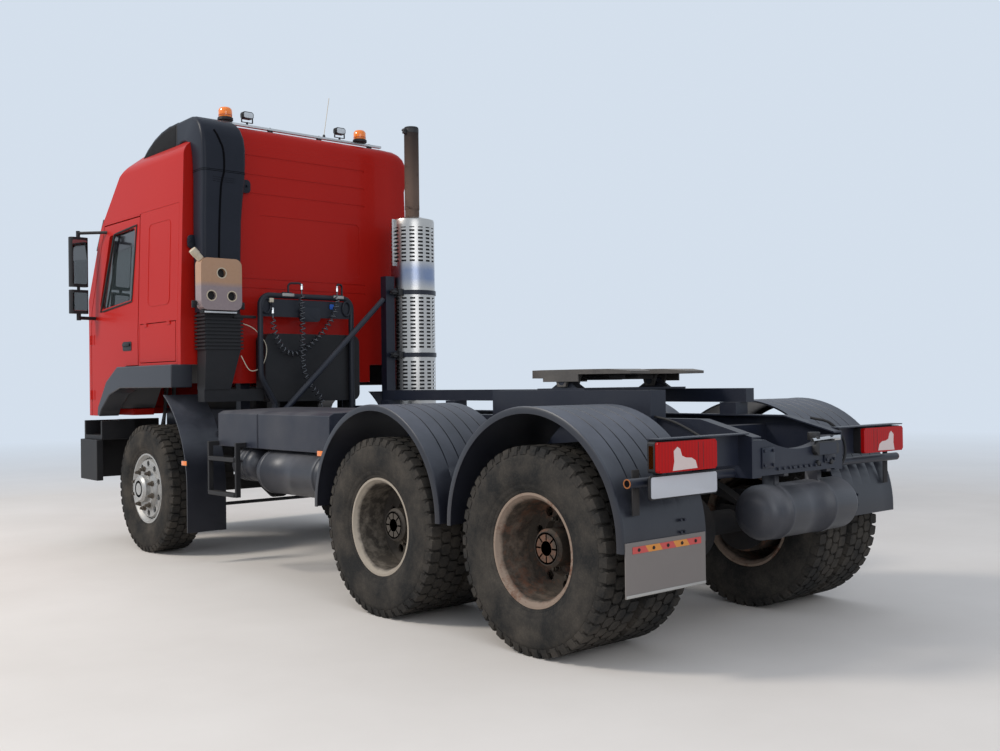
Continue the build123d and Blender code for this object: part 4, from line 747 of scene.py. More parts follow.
def dress(node, look, slot, bevel=0.0, smooth=35.0):
    """A merged copy of a CAD node with its edges eased, which stands for the node."""
    part = bmesh.new()
    part.from_mesh(frame["nodes"][node].data)
    bmesh.ops.remove_doubles(part, verts=part.verts, dist=1e-5)
    bmesh.ops.join_triangles(part, faces=part.faces, angle_face_threshold=FLAT, angle_shape_threshold=math.pi)
    mesh = mesh_from(part, node + "_finish")
    for polygon in mesh.polygons:
        polygon.use_smooth = True
    mesh.set_sharp_from_angle(angle=math.radians(smooth))
    if bevel:
        holder = linked("easing", mesh)
        easing = holder.modifiers.new("Ease", "BEVEL")
        easing.width = bevel
        easing.segments = 2
        easing.limit_method = "ANGLE"
        easing.angle_limit = EASED
        easing.use_clamp_overlap = True
        easing.miter_outer = "MITER_ARC"
        easing.loop_slide = False
        level = holder.modifiers.new("Level", "WEIGHTED_NORMAL")
        level.keep_sharp = True
        level.weight = 100
        eased = evaluated(holder)
        bpy.data.meshes.remove(mesh)
        mesh = eased
    body = next(name for name, members in frame["record"]["behaviour"]["bodies"].items() if node in members)
    return place(node + "_finish", mesh, body, slot, look, (node,), None)


def dress_all(groups):
    """Dresses nodes that share a look and a slot; each node is given with the width of its eased edges."""
    for look, slot, widths in groups:
        for node, width in widths.items():
            dress(node, look, slot, width)


def station(value):
    """The frame's Y for a place measured back from the front axle."""
    return AXLE_Y["front"] + value


def spot(x, back, z):
    return Vector((x, station(back), z))


# Camera: the photograph's viewpoint, found from the truck's known sizes
CAMERA_SPOT = Vector((5.0874, 6.9158, 1.4223))
CAMERA_YAW = 0.7220
CAMERA_PITCH = 0.0072
CAMERA_ROLL = -0.0124
CAMERA_LENS = 39.23


def build_camera():
    """The camera at the photograph's angle, with its yaw, pitch and roll turned into a matrix."""
    data = bpy.data.cameras.new("Camera")
    data.lens = CAMERA_LENS
    data.sensor_width = 36
    data.clip_end = 200
    camera = linked("Camera", data)
    forward = Vector((-math.sin(CAMERA_YAW) * math.cos(CAMERA_PITCH),
                      -math.cos(CAMERA_YAW) * math.cos(CAMERA_PITCH), math.sin(CAMERA_PITCH)))
    level = forward.cross(Vector((0, 0, 1))).normalized()
    above = level.cross(forward)
    right = math.cos(CAMERA_ROLL) * level + math.sin(CAMERA_ROLL) * above
    up = math.cos(CAMERA_ROLL) * above - math.sin(CAMERA_ROLL) * level
    turn = Matrix((right, up, -forward)).transposed()
    camera.matrix_world = Matrix.Translation(CAMERA_SPOT) @ turn.to_4x4()
    bpy.context.scene.camera = camera


# Curly hoses: how far back they hang, and their routes as (x, back, height)
HOSE_FRONT = 1.017
HANG_BACK = 0.993
LOW_BACK = 0.957
COIL_RADIUS = 0.027
HOSE_ROUTES = {
    "hose_middle": (
        (0.196, HOSE_FRONT, 2.240), (0.196, HOSE_FRONT, 2.085), (0.189, HOSE_FRONT, 1.900),
        (0.195, HOSE_FRONT, 1.720), (0.188, HOSE_FRONT, 1.570), (0.140, HOSE_FRONT, 1.455),
        (0.070, HOSE_FRONT, 1.370), (0.008, HOSE_FRONT, 1.310), (0.008, HOSE_FRONT, 1.230),
    ),
    "hose_hanging": (
        (0.462, HANG_BACK, 2.030), (0.462, HANG_BACK, 1.940), (0.432, HANG_BACK - 0.012, 1.850),
        (0.380, HANG_BACK - 0.026, 1.765), (0.310, LOW_BACK, 1.705), (0.225, LOW_BACK - 0.001, 1.690),
        (0.140, LOW_BACK, 1.725), (0.045, LOW_BACK + 0.006, 1.800), (-0.050, HANG_BACK - 0.014, 1.900),
        (-0.125, HANG_BACK + 0.004, 2.010), (-0.163, HANG_BACK + 0.019, 2.125),
        (-0.163, HANG_BACK + 0.019, 2.240),
    ),
}


def route_points(name, points):
    """Points read from a cord's NURBS route."""
    data = bpy.data.curves.new(name + "_route", "CURVE")
    data.dimensions = "3D"
    data.resolution_u = 24
    spline = data.splines.new("NURBS")
    spline.points.add(len(points) - 1)
    for knot, point in zip(spline.points, points):
        knot.co = (*spot(*point), 1)
    spline.order_u = 3
    spline.use_endpoint_u = True
    mesh = evaluated(linked(name + "_route", data))
    line = [vert.co.copy() for vert in mesh.vertices]
    bpy.data.meshes.remove(mesh)
    return line


def evenly(points, step):
    """Points at equal steps along a line."""
    lengths = [0.0]
    for a, b in zip(points, points[1:]):
        lengths.append(lengths[-1] + (b - a).length)
    count = max(2, round(lengths[-1] / step))
    line, leg = [], 0
    for index in range(count + 1):
        reach = lengths[-1] * index / count
        while leg < len(points) - 2 and lengths[leg + 1] < reach:
            leg += 1
        share = (reach - lengths[leg]) / max(1e-9, lengths[leg + 1] - lengths[leg])
        line.append(points[leg].lerp(points[leg + 1], min(1.0, share)))
    return line


def helix(points, radius, pitch, straight):
    """A coil round a line, which runs in from the line over a straight stretch at each end."""
    per_turn = 16
    line = evenly(points, pitch / per_turn)
    total = (len(line) - 1) * pitch / per_turn
    coil, side = [], None
    for index, point in enumerate(line):
        ahead = (line[min(index + 1, len(line) - 1)] - line[max(index - 1, 0)]).normalized()
        side = ahead.orthogonal() if side is None else side - ahead * side.dot(ahead)
        side = side.normalized()
        reach = total * index / (len(line) - 1)
        ease = min(1.0, max(0.0, min(reach, total - reach) - straight) / straight)
        ease = ease * ease * (3 - 2 * ease)
        turn = index * math.tau / per_turn
        coil.append(point + (side * math.cos(turn) + ahead.cross(side) * math.sin(turn)) * radius * ease)
    return coil


def build_hoses(sizes):
    """The two curly air hoses and the connectors at their ends."""
    for name, points in HOSE_ROUTES.items():
        coil = helix(route_points(name, points), COIL_RADIUS - sizes.hose_wire / 2, sizes.hose_pitch, 0.03)
        shape = Shape()
        shape.tube(coil, sizes.hose_wire / 2, sides=10)
        piece = shape.piece(name + "_coil", "chassis", "hose", "hose_black", (name,), smooth=60)
    ends = Shape()
    for name in HOSE_ROUTES:
        for point, sign in ((HOSE_ROUTES[name][0], 1),
                            (HOSE_ROUTES[name][-1], 1 if name == "hose_hanging" else -1)):
            top = spot(*point)
            ends.rod(top + Vector((0, 0, 0.004 * sign)), top + Vector((0, 0, 0.034 * sign)), 0.013, 6)
            ends.rod(top + Vector((0, 0, 0.034 * sign)), top + Vector((0, 0, 0.052 * sign)), 0.0105, 12)
    ends.piece("hose_unions", "chassis", "hose", "bright_steel")
    fittings = {name: Shape() for name in ("edge_pale", "tag_blue", "wire_pale", "rack_black")}
    for low, high in ((0.245, 0.360), (-0.255, -0.150)):
        fittings["edge_pale"].box(spot(low, 0.974, 2.186), spot(high, 0.980, 2.212), 0.002)
        fittings["rack_black"].box(spot(low + 0.01, 0.945, 2.205), spot(high - 0.01, 0.965, 2.222), 0.003)
    fittings["tag_blue"].prism(rounded((-0.155, 2.090), (-0.115, 2.135), 0.012), "y", station(0.962),
                               station(0.972))
    fittings["wire_pale"].box(spot(0.445, 0.958, 2.128), spot(0.485, 0.985, 2.165), 0.004)
    fittings["rack_black"].prism(rounded((-0.010, 1.975), (0.190, 2.100), 0.03), "y", station(0.957),
                                 station(0.985), 0.004)
    for x in (-0.290, 0.505):
        ring = [spot(x + 0.040 * math.cos(t), 0.968, 2.100 + 0.062 * math.sin(t)) for t in turns(24)]
        fittings["rack_black"].tube(ring, 0.011, 8, closed=True)
    for name, shape in fittings.items():
        shape.piece("rack_" + name, "chassis", "chassis", name)


# Wheels: the tread's outer and inner radius, half its width, and the bead's radius
TREAD_TOP = TYRE_RADIUS - 0.001
TREAD_BASE = TYRE_RADIUS - 0.019
HALF_TREAD = TYRE_WIDTH / 2 - 0.020
BEAD = 0.287
SHOULDER_NOTCH, MIDDLE_NOTCH = 0.008, 0.014


def carcass():
    """One tyre's body about the X axis, closed round its bore."""
    half = [
        (0.000, TREAD_BASE), (HALF_TREAD - 0.012, TREAD_BASE - 0.001),
        (HALF_TREAD + 0.004, TREAD_BASE - 0.010),
        (0.1495, 0.500), (0.1525, 0.497), (0.1545, 0.480), (0.1585, 0.455), (0.1595, 0.420), (0.1570, 0.385),
        (0.1500, 0.352), (0.1480, 0.350), (0.1470, 0.343), (0.1400, 0.322), (0.1370, 0.320), (0.1360, 0.314),
        (0.1300, 0.305), (0.1160, 0.302), (0.1150, BEAD), (0.000, BEAD),
    ]
    outline = half + [(-x, radius) for x, radius in reversed(half[1:-1])]
    shape = Shape()
    shape.lathe(outline, (0, 0, 0), "x", steps=96, closed=True)
    return shape.mesh("carcass")


def tread_cell(pitch_angle):
    """One repeat of the tread: four staggered blocks, drawn at the tyre's top."""
    shape = Shape()
    length = TREAD_TOP * pitch_angle
    # Row's inner and outer edge across the tread, its stagger and its length, as shares of the pitch
    rows = ((0.078, HALF_TREAD, 0.0, 0.74), (0.006, 0.066, 0.5, 0.80), (-0.066, -0.006, 0.0, 0.80),
            (-HALF_TREAD, -0.078, 0.5, 0.74))
    for low, high, stagger, share in rows:
        middle, half = stagger * length, share * length / 2
        outer = abs(low + high) / 2 > 0.07
        notch = SHOULDER_NOTCH if outer else MIDDLE_NOTCH
        inside = [(low, middle - half + notch), (low + notch, middle - half), (high - notch, middle - half),
                  (high, middle - half + notch), (high, middle + half - notch), (high - notch, middle + half),
                  (low + notch, middle + half), (low, middle + half - notch)]
        rings = []
        for radius, grow in ((TREAD_BASE - 0.006, 0.004), (TREAD_TOP - 0.002, 0.0), (TREAD_TOP, -0.002)):
            ring = []
            for x, t in inside:
                x_out = x + math.copysign(grow, x - (low + high) / 2)
                angle = (t + math.copysign(grow, t - middle)) / TREAD_TOP
                ring.append((x_out, radius * math.sin(angle), radius * math.cos(angle)))
            rings.append(ring)
        shape.loft(rings)
        if outer:
            side = 1 if low > 0 else -1
            lug = [(side * (HALF_TREAD - 0.02), TREAD_TOP - 0.004),
                   (side * (HALF_TREAD + 0.001), TREAD_TOP - 0.003),
                   (side * (HALF_TREAD + 0.0115), 0.516), (side * (HALF_TREAD + 0.0125), 0.503),
                   (side * (HALF_TREAD - 0.02), 0.503)]
            ends = [(middle + half * share) / TREAD_TOP for share in (-0.86, 0.86)]
            shape.loft([[(x, radius * math.sin(angle), radius * math.cos(angle)) for x, radius in lug]
                        for angle in ends])
    return shape.mesh("tread cell")


def build_tyres(sizes):
    """Ten block tread tyres, each twin pair as one piece."""
    blocks = grown(tread_cell(math.tau / sizes.tread_blocks), "ring", "tyre", Count=sizes.tread_blocks)
    tyre = joined("tyre", carcass(), blocks)
    sets = [("front", "wheel_front", "tyre_front", (FRONT_WHEEL_X,))]
    sets += [(name, f"wheels_{name}", f"tyres_{name}", (TWIN_IN_X, TWIN_OUT_X)) for name in ("mid", "last")]
    for number, (axle, body, node, places) in enumerate(sets):
        for side, sign in (("left", 1), ("right", -1)):
            copies = []
            for index, x in enumerate(places):
                turn = Matrix.Rotation(0.37 * number + 0.61 * index + 0.9 * (sign > 0), 4, "X")
                where = Matrix.Translation((sign * x, AXLE_Y[axle], AXLE_Z))
                copies.append(moved(tyre, where @ turn, f"{axle} tyre"))
            name = f"{node}_{side}"
            place(name + "_tread", joined(name + "_tread", *copies), f"{body}_{side}", "tyre", "tyre",
                  (name,), 40)
    bpy.data.meshes.remove(tyre)


# Radius of the wheel nuts' circle, and of one nut over its corners
NUT_CIRCLE = 0.1675
NUT_CORNER = 0.017


def nut_mesh(face):
    """One wheel nut on its stud, drawn at the top of the bolt circle; face is the seat's x."""
    shape = Shape()
    shape.rod((face - 0.004, 0, NUT_CIRCLE), (face + 0.008, 0, NUT_CIRCLE), 0.024, 20)
    shape.rod((face + 0.006, 0, NUT_CIRCLE), (face + 0.030, 0, NUT_CIRCLE), NUT_CORNER, 6, bevel=0.0015)
    shape.rod((face + 0.028, 0, NUT_CIRCLE), (face + 0.044, 0, NUT_CIRCLE), 0.0105, 12, bevel=0.001)
    return shape.mesh("nut")


def build_rims(sizes):
    """Dressed rims, with their nuts and hub covers."""
    looks = {"front": "rim_silver", "mid": "rim_beige", "last": "rim_rusty"}
    for axle, look in looks.items():
        for side, sign in (("left", 1), ("right", -1)):
            front = axle == "front"
            node = f"rim_front_{side}" if front else f"rims_{axle}_{side}"
            body = f"wheel_front_{side}" if front else f"wheels_{axle}_{side}"
            slot = "front_rim" if front else "rear_rim"
            dress(node, look, slot, bevel=0.003, smooth=38)
            centre = Matrix.Translation((0, AXLE_Y[axle], AXLE_Z))
            if sign < 0:
                centre = centre @ MIRROR
            face = FRONT_WHEEL_X + 0.150 if front else (TWIN_IN_X + TWIN_OUT_X) / 2 + 0.014
            nuts = grown(nut_mesh(face), "ring", "nut_steel", Count=sizes.wheel_nuts)
            place(f"{node}_nuts", moved(nuts, centre, f"{node} nuts"), body, slot, "nut_steel")
            bpy.data.meshes.remove(nuts)
            cap = front_cap() if front else rear_cap()
            cap_look = "rim_silver" if front else "hub_iron"
            place(f"{node}_cap", moved(cap, centre, f"{node} cap"), body, slot, cap_look)
            bpy.data.meshes.remove(cap)


def front_cap():
    """The front hub's drum and ribbed cover."""
    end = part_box("rim_front_left")[1].x
    shape = Shape()
    shape.lathe([(end - 0.0105, 0.0), (end - 0.0105, 0.064), (end - 0.004, 0.074), (end, 0.072), (end, 0.052),
                 (end - 0.006, 0.046), (end - 0.006, 0.0)], (0, 0, 0), "x", 48)
    for turn in turns(8):
        y, z = 0.060 * math.sin(turn), 0.060 * math.cos(turn)
        shape.rod((end - 0.006, y, z), (end, y, z), 0.006, 6)
    return shape.mesh("front cap")


def rear_cap():
    """The reduction hub's end: a ring, eight ribs and a bolted middle round eight recesses."""
    end = min(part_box("rims_mid_left")[1].x, (TWIN_IN_X + TWIN_OUT_X) / 2 + 0.195)
    sunk = end - 0.012
    shape = Shape()
    rim = [(sunk, 0.073), (sunk, 0.0895), (end, 0.0885), (end, 0.0745)]
    shape.lathe(rim, (0, 0, 0), "x", 56, closed=True)
    middle = [(sunk, 0.0), (sunk, 0.046), (end - 0.002, 0.044), (end, 0.040), (end, 0.0)]
    shape.lathe(middle, (0, 0, 0), "x", 40)
    low, high = Vector((sunk, -0.006, 0.040)), Vector((end, 0.006, 0.078))
    half = (high - low) / 2
    for angle in turns(8):
        turn = Matrix.Rotation(angle, 3, "X")
        middle = turn @ ((low + high) / 2)
        shape.box(middle - half, middle + half, 0.0015, turn)
    for angle in turns(8):
        y, z = (0.030 * part(angle + math.pi / 8) for part in (math.sin, math.cos))
        shape.rod((end - 0.01, y, z), (end, y, z), 0.0055, 6)
    return shape.mesh("rear cap")


# Exhaust: the centre line, the guard's radius and heights, and the stack
STACK_X = -0.945
STACK_BACK = 1.080
GUARD_RADIUS = 0.199
GUARD_LOW = 1.240
GUARD_TOP = 2.955
STACK_TOP = 3.790
STACK_RADIUS = 0.067
BLANK_BANDS = ((1.640, 1.760), (2.235, 2.538))
FACES_PER_SLOT = 5


def guard_sheet(sizes):
    """The silencer guard's sheet as a grid, with a row mark where it stays blank."""
    columns = sizes.guard_slots * FACES_PER_SLOT
    rows = []
    z = GUARD_LOW + 0.02
    while z < GUARD_TOP - 0.075:
        rows.append(z)
        z += sizes.guard_row / 2
    mesh = bpy.data.meshes.new("guard sheet")
    verts, faces, blank = [], [], []
    centre = spot(STACK_X, STACK_BACK, 0)
    for z in rows:
        for turn in turns(columns):
            verts.append(centre + Vector((GUARD_RADIUS * math.cos(turn), GUARD_RADIUS * math.sin(turn), z)))
    for row in range(len(rows) - 1):
        middle = (rows[row] + rows[row + 1]) / 2
        plain = any(low < middle < high for low, high in BLANK_BANDS)
        for step in range(columns):
            after = (step + 1) % columns
            faces.append((row * columns + step, row * columns + after, (row + 1) * columns + after,
                          (row + 1) * columns + step))
            blank.append(1.0 if plain else 0.0)
    mesh.from_pydata(verts, [], faces)
    mark = mesh.attributes.new("blank", "FLOAT", "FACE")
    mark.data.foreach_set("value", blank)
    return mesh


def build_exhaust(sizes):
    """The silencer behind its slotted guard, with the stack, its rain cap and the clamps."""
    sheet = grown(guard_sheet(sizes), "slots", "stainless", Faces_Round=sizes.guard_slots * FACES_PER_SLOT,
                  Slot_Faces=3, Faces_Per_Slot=FACES_PER_SLOT)
    part = bmesh.new()
    part.from_mesh(sheet)
    bmesh.ops.recalc_face_normals(part, faces=part.faces)
    part.to_mesh(sheet)
    part.free()
    holder = linked("guard", sheet)
    wall = holder.modifiers.new("Wall", "SOLIDIFY")
    wall.thickness = 0.0016
    first, middle = sheet.polygons[0], spot(STACK_X, STACK_BACK, GUARD_LOW)
    wall.offset = -1 if first.normal.dot(first.center - middle) > 0 else 1
    solid = evaluated(holder)
    bpy.data.meshes.remove(sheet)
    place("exhaust_guard", solid, "chassis", "stainless", "stainless", ("exhaust",), 20)
    centre = spot(STACK_X, STACK_BACK, 0)
    top, inside = GUARD_TOP, GUARD_RADIUS - 0.004
    shape = Shape()
    shape.lathe([(top - 0.105, GUARD_RADIUS), (top - 0.045, GUARD_RADIUS), (top - 0.030, inside),
                 (top, STACK_RADIUS + 0.018), (top, STACK_RADIUS + 0.004),
                 (top - 0.035, GUARD_RADIUS - 0.012), (top - 0.105, inside)], centre, "z", 64, closed=True)
    shape.band(GUARD_LOW, GUARD_LOW + 0.032, inside, GUARD_RADIUS, centre, steps=64)
    shape.piece("exhaust_guard_ends", "chassis", "stainless", "stainless")
    shape = Shape()
    shape.lathe([(GUARD_LOW + 0.006, 0), (GUARD_LOW + 0.006, 0.165), (GUARD_LOW + 0.05, 0.183), (2.80, 0.183),
                 (2.865, 0.165), (2.90, 0.07), (2.90, 0)], centre, "z", 48)
    shape.piece("silencer_body", "chassis", "stainless", "dark_steel")
    # The stack: its pipe, the joint's collar, and the rain cap on a band with its hinge
    pipe, hollow, foot = STACK_RADIUS, STACK_RADIUS - 0.004, STACK_RADIUS - 0.002
    shape = Shape()
    shape.lathe([(2.88, pipe - 0.003), (2.965, foot), (3.045, foot), (3.047, pipe), (3.75, pipe),
                 (3.75, hollow), (2.88, hollow)], centre, "z", 40, closed=True)
    shape.band(3.030, 3.064, pipe - 0.003, pipe + 0.0008, centre)
    shape.rod(centre + Vector((0.05, 0.05, 3.04)), centre + Vector((0.085, 0.03, 3.055)), 0.008, 8)
    shape.piece("stack_pipe", "chassis", "stainless", "stack_rust")
    shape = Shape()
    lid = STACK_TOP - 0.001
    shape.band(3.735, 3.772, foot, pipe + 0.0009, centre)
    shape.lathe([(3.774, 0), (3.774, foot), (3.782, pipe), (lid, pipe - 0.006), (lid, 0)], centre, "z", 40)
    shape.box(centre + Vector((0.052, -0.014, 3.722)), centre + Vector((0.094, 0.014, 3.768)), 0.004)
    shape.rod(centre + Vector((0.086, -0.026, 3.757)), centre + Vector((0.086, 0.026, 3.757)), 0.007, 10)
    shape.piece("stack_rain_cap", "chassis", "stainless", "dark_steel")
    dress("exhaust_frame", "navy", "chassis", bevel=0.004)
    shape = Shape()
    shape.box(spot(STACK_X + GUARD_RADIUS - 0.004, STACK_BACK - 0.002, 2.50),
              spot(STACK_X + GUARD_RADIUS + 0.030, STACK_BACK + 0.002, GUARD_TOP - 0.03), 0.001)
    shape.piece("exhaust_guard_seam", "chassis", "stainless", "aluminium")
    shape = Shape()
    for z in (1.690, 2.256):
        ends = spot(STACK_X + 0.2, STACK_BACK, z)
        for lift in (-0.012, 0.012):
            shape.rod(ends + Vector((-0.02, 0.085, lift)), ends + Vector((0.10, 0.052, lift)), 0.006, 8)
        shape.box(ends + Vector((-0.012, 0.040, -0.03)), ends + Vector((0.035, 0.10, 0.03)), 0.005)
        shape.box(ends + Vector((0.045, 0.035, -0.022)), ends + Vector((0.085, 0.085, 0.022)), 0.004)
        shape.rod(ends + Vector((0.045, 0.092, 0.0)), ends + Vector((0.112, 0.092, 0.0)), 0.009, 6)
    shape.piece("silencer_clamp_bolts", "chassis", "chassis", "dark_steel")


def build_tank():
    """The expansion tank with its filler, ears and cap."""
    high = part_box("header_tank")[1]
    dress("header_tank", "bottle", "bottle", bevel=0.012, smooth=50)
    shape = Shape()
    neck = spot(1.095, 0.958, 2.455)
    along = Vector((0.072, 0, 0.072))
    shape.rod(neck, neck + along * 0.55, 0.030, 28)
    shape.rod(neck + along * 0.45, neck + along * 0.98, 0.0335, 28, far_radius=0.031, bevel=0.003)
    shape.piece("header_cap", "cab", "bottle", "pale_plastic")
    ears = Shape()
    ears.box(spot(0.585, 0.915, 1.990), spot(0.790, 0.935, 2.014), 0.004)
    ears.box(spot(0.700, 0.720, 1.985), spot(0.760, 0.930, 1.993), 0.002)
    for x, z, side in ((0.716, 2.090, -1), (1.140, 2.090, 1)):
        ears.box((x - 0.022, station(0.925), z - 0.03), (x + 0.022, station(0.945), z + 0.03), 0.006)
        ears.rod(spot(x, 0.922, z), spot(x, 0.952, z), 0.009, 6)
    ears.box((0.780, station(0.925), 2.018), (1.090, station(0.985), 2.046), 0.004)
    ears.piece("header_ears", "cab", "chassis", "black_plastic")
    face = high.y
    rings, wells = Shape(), Shape()
    for x, z in ((0.935, 2.345), (0.845, 2.160), (1.025, 2.160)):
        rings.lathe([(face - 0.006, 0.0365), (face - 0.006, 0.046), (face + 0.0015, 0.045),
                     (face + 0.0025, 0.041), (face + 0.0015, 0.0365)], (x, 0, z), "y", 32, closed=True)
        wells.lathe([(face - 0.0395, 0), (face - 0.0395, 0.037), (face - 0.034, 0.037), (face - 0.034, 0)],
                    (x, 0, z), "y", 28)
    rings.piece("header_rings", "cab", "bottle", "pale_plastic")
    wells.piece("header_wells", "cab", "bottle", "seal_rubber")
    strip = Shape()
    strip.box((0.792, station(0.982), 2.020), (1.078, station(0.990), 2.036), 0.002)
    strip.piece("header_strap", "cab", "aluminium", "aluminium")


def build_chassis():
    """Frame, subframe, axles and the other steel under the truck, dressed and bolted."""
    dress_all((
        ("navy", "chassis", {"frame": 0.003, "subframe": 0.003}),
        ("cast_iron", "engine", {"engine": 0.02}),
        ("cast_iron", "cast", {"drive_line": 0.006, "front_axle": 0.006, "rear_axles": 0.006,
                               "springs": 0.003, "knuckle_left": 0.004, "knuckle_right": 0.004}),
        ("dark_steel", "cast", {"tie_rod": 0.002}), ("navy", "chassis", {"tail_brackets": 0.002}),
        ("black_plastic", "chassis", {"steps": 0.004}), ("tank_navy", "chassis", {"left_box": 0.008}),
        ("rack_black", "chassis", {"hose_rack": 0.002}),
        ("greased_steel", "plate_steel", {"fifth_wheel_plate": 0.004}),
    ))
    build_lock()


# The fifth wheel's pin line, and the under side that its lock hangs from
PLATE_BACK = 4.430
LOCK_LOW = 1.438


def build_lock():
    """The locking jaw's housing, its bar, spring and release lever under the fifth wheel's plate."""
    lock, lever = Shape(), Shape()
    lock.box(spot(-0.205, PLATE_BACK - 0.26, LOCK_LOW), spot(-0.060, PLATE_BACK + 0.16, 1.468), 0.006)
    lock.box(spot(0.060, PLATE_BACK - 0.26, LOCK_LOW), spot(0.205, PLATE_BACK + 0.16, 1.468), 0.006)
    lock.box(spot(-0.240, PLATE_BACK - 0.235, 1.436), spot(0.240, PLATE_BACK - 0.165, 1.466), 0.008)
    for x in (-0.150, 0.150):
        lock.rod(spot(x, PLATE_BACK - 0.10, 1.436), spot(x, PLATE_BACK - 0.10, 1.469), 0.032, 24, bevel=0.004)
        lock.rod(spot(x, PLATE_BACK + 0.08, LOCK_LOW), spot(x, PLATE_BACK + 0.08, 1.469), 0.018, 6)
    coil, bar = 0.011, PLATE_BACK - 0.20
    wound = [(step, step * 0.9) for step in range(48)]
    lever.tube([spot(-0.30 + 0.0045 * step, bar + coil * math.cos(turn), 1.451 + coil * math.sin(turn))
                for step, turn in wound], 0.0025, 6)
    lever.tube([spot(0.235, bar, 1.452), spot(0.310, bar, 1.452)], 0.009, 10)
    lock.piece("fifth_wheel_lock", "fifth_wheel", "plate_steel", "cast_iron")
    lever.piece("fifth_wheel_spring", "fifth_wheel", "plate_steel", "nut_steel")


GUARD_ARCH = 0.665
GUARD_CENTRE_Z = 0.635
GUARD_WALL = 0.010
GUARD_IN = 0.620
GUARD_LIP = 1.254
GUARD_TOP_OUT = 1.222
GROOVE_DEPTH = 0.0065
GROOVE_HALF = 0.0042
# Degrees over the guard's ends where the grooves start, and over which they reach their depth
GROOVE_START, GROOVE_RUN = 18, 16
# The rolled lip and the way back under the wall: x, and height over the arch
GUARD_ROLL = ((GUARD_TOP_OUT, 0.0), (1.234, 0.002), (1.243, 0.003), (1.250, 0.001), (GUARD_LIP, -0.006),
              (GUARD_LIP, -0.036), (1.249, -0.036), (1.248, -0.012), (1.240, -0.009),
              (GUARD_TOP_OUT, -GUARD_WALL), (GUARD_IN, -GUARD_WALL))


def guard_profile(grooves, depth):
    """Points across a guard, as x and height over the arch: grooved top, rolled lip and under side."""
    points = [(GUARD_IN, 0.0)]
    pitch = (GUARD_TOP_OUT - GUARD_IN) / (grooves + 1)
    for index in range(grooves):
        x = GUARD_IN + (index + 1) * pitch
        points += [(x - GROOVE_HALF, 0.0), (x - GROOVE_HALF / 2, -depth), (x + GROOVE_HALF / 2, -depth),
                   (x + GROOVE_HALF, 0.0)]
    return points + list(GUARD_ROLL)


def guard_shell(shape, back, low_front, low_rear, grooves):
    """One guard over a bogie wheel, with its rolled lip and the grooves that run along its arch."""
    stops = [(-1, 0, low_front, 0.0)]
    for angle in range(180, -1, -4):
        turn = math.radians(angle)
        depth = min(1.0, max(0.0, (min(angle, 180 - angle) - GROOVE_START) / GROOVE_RUN)) * GROOVE_DEPTH
        stops.append((math.cos(turn), math.sin(turn), GUARD_CENTRE_Z, depth))
    stops.append((1, 0, low_rear, 0.0))
    shape.loft([[(x, station(back) + (GUARD_ARCH + lift) * out_y, base + (GUARD_ARCH + lift) * out_z)
                 for x, lift in guard_profile(grooves, depth)] for out_y, out_z, base, depth in stops])


MID_GUARD = 3.565
LAST_GUARD = 4.965


def build_guards(sizes):
    """Mudguards with rolled lips and grooves along them, and the flap behind the last one."""
    shape = Shape()
    guard_shell(shape, MID_GUARD, 0.625, 0.625, sizes.guard_grooves)
    guard_shell(shape, LAST_GUARD, 0.625, 0.605, sizes.guard_grooves)
    shape.mirrored()
    shape.piece("rear_guards_pressed", "chassis", "guard_plastic", "guard_plastic", ("rear_guards",),
                smooth=40)
    dress("front_guards", "guard_plastic", "guard_plastic", 0.005)
    dress("rear_flap", "flap_grey", "rubber", 0.002)
    build_flap_strip()
    bolts = Shape()
    for back, z in ((MID_GUARD - GUARD_ARCH, 0.700), ((MID_GUARD + LAST_GUARD) / 2, 1.080),
                    (LAST_GUARD + GUARD_ARCH, 0.700)):
        for x in (0.795, 0.825):
            for lift in (-0.03, 0.03):
                bolts.rod(spot(x, back - 0.012, z + lift), spot(x, back + 0.012, z + lift), 0.008, 6)
    bolts.mirrored()
    bolts.piece("guard_clamp_bolts", "chassis", "chassis", "navy")
    straps = Shape()
    face = station(LAST_GUARD) + GUARD_ARCH
    straps.box((1.130, face - 0.002, 0.780), (1.180, face + 0.005, 0.925), 0.002)
    straps.box((1.130, face - 0.002, 0.955), (1.180, face + 0.006, 1.000), 0.002)
    straps.mirrored()
    straps.piece("guard_straps", "chassis", "chassis", "cast_iron")


# Heights of the reflecting strip on the flap, and its ends across the truck
STRIP_LOW, STRIP_HIGH = 0.600, 0.633
STRIP_IN, STRIP_OUT = 0.672, 1.190
STRIP_BLOCKS = 5


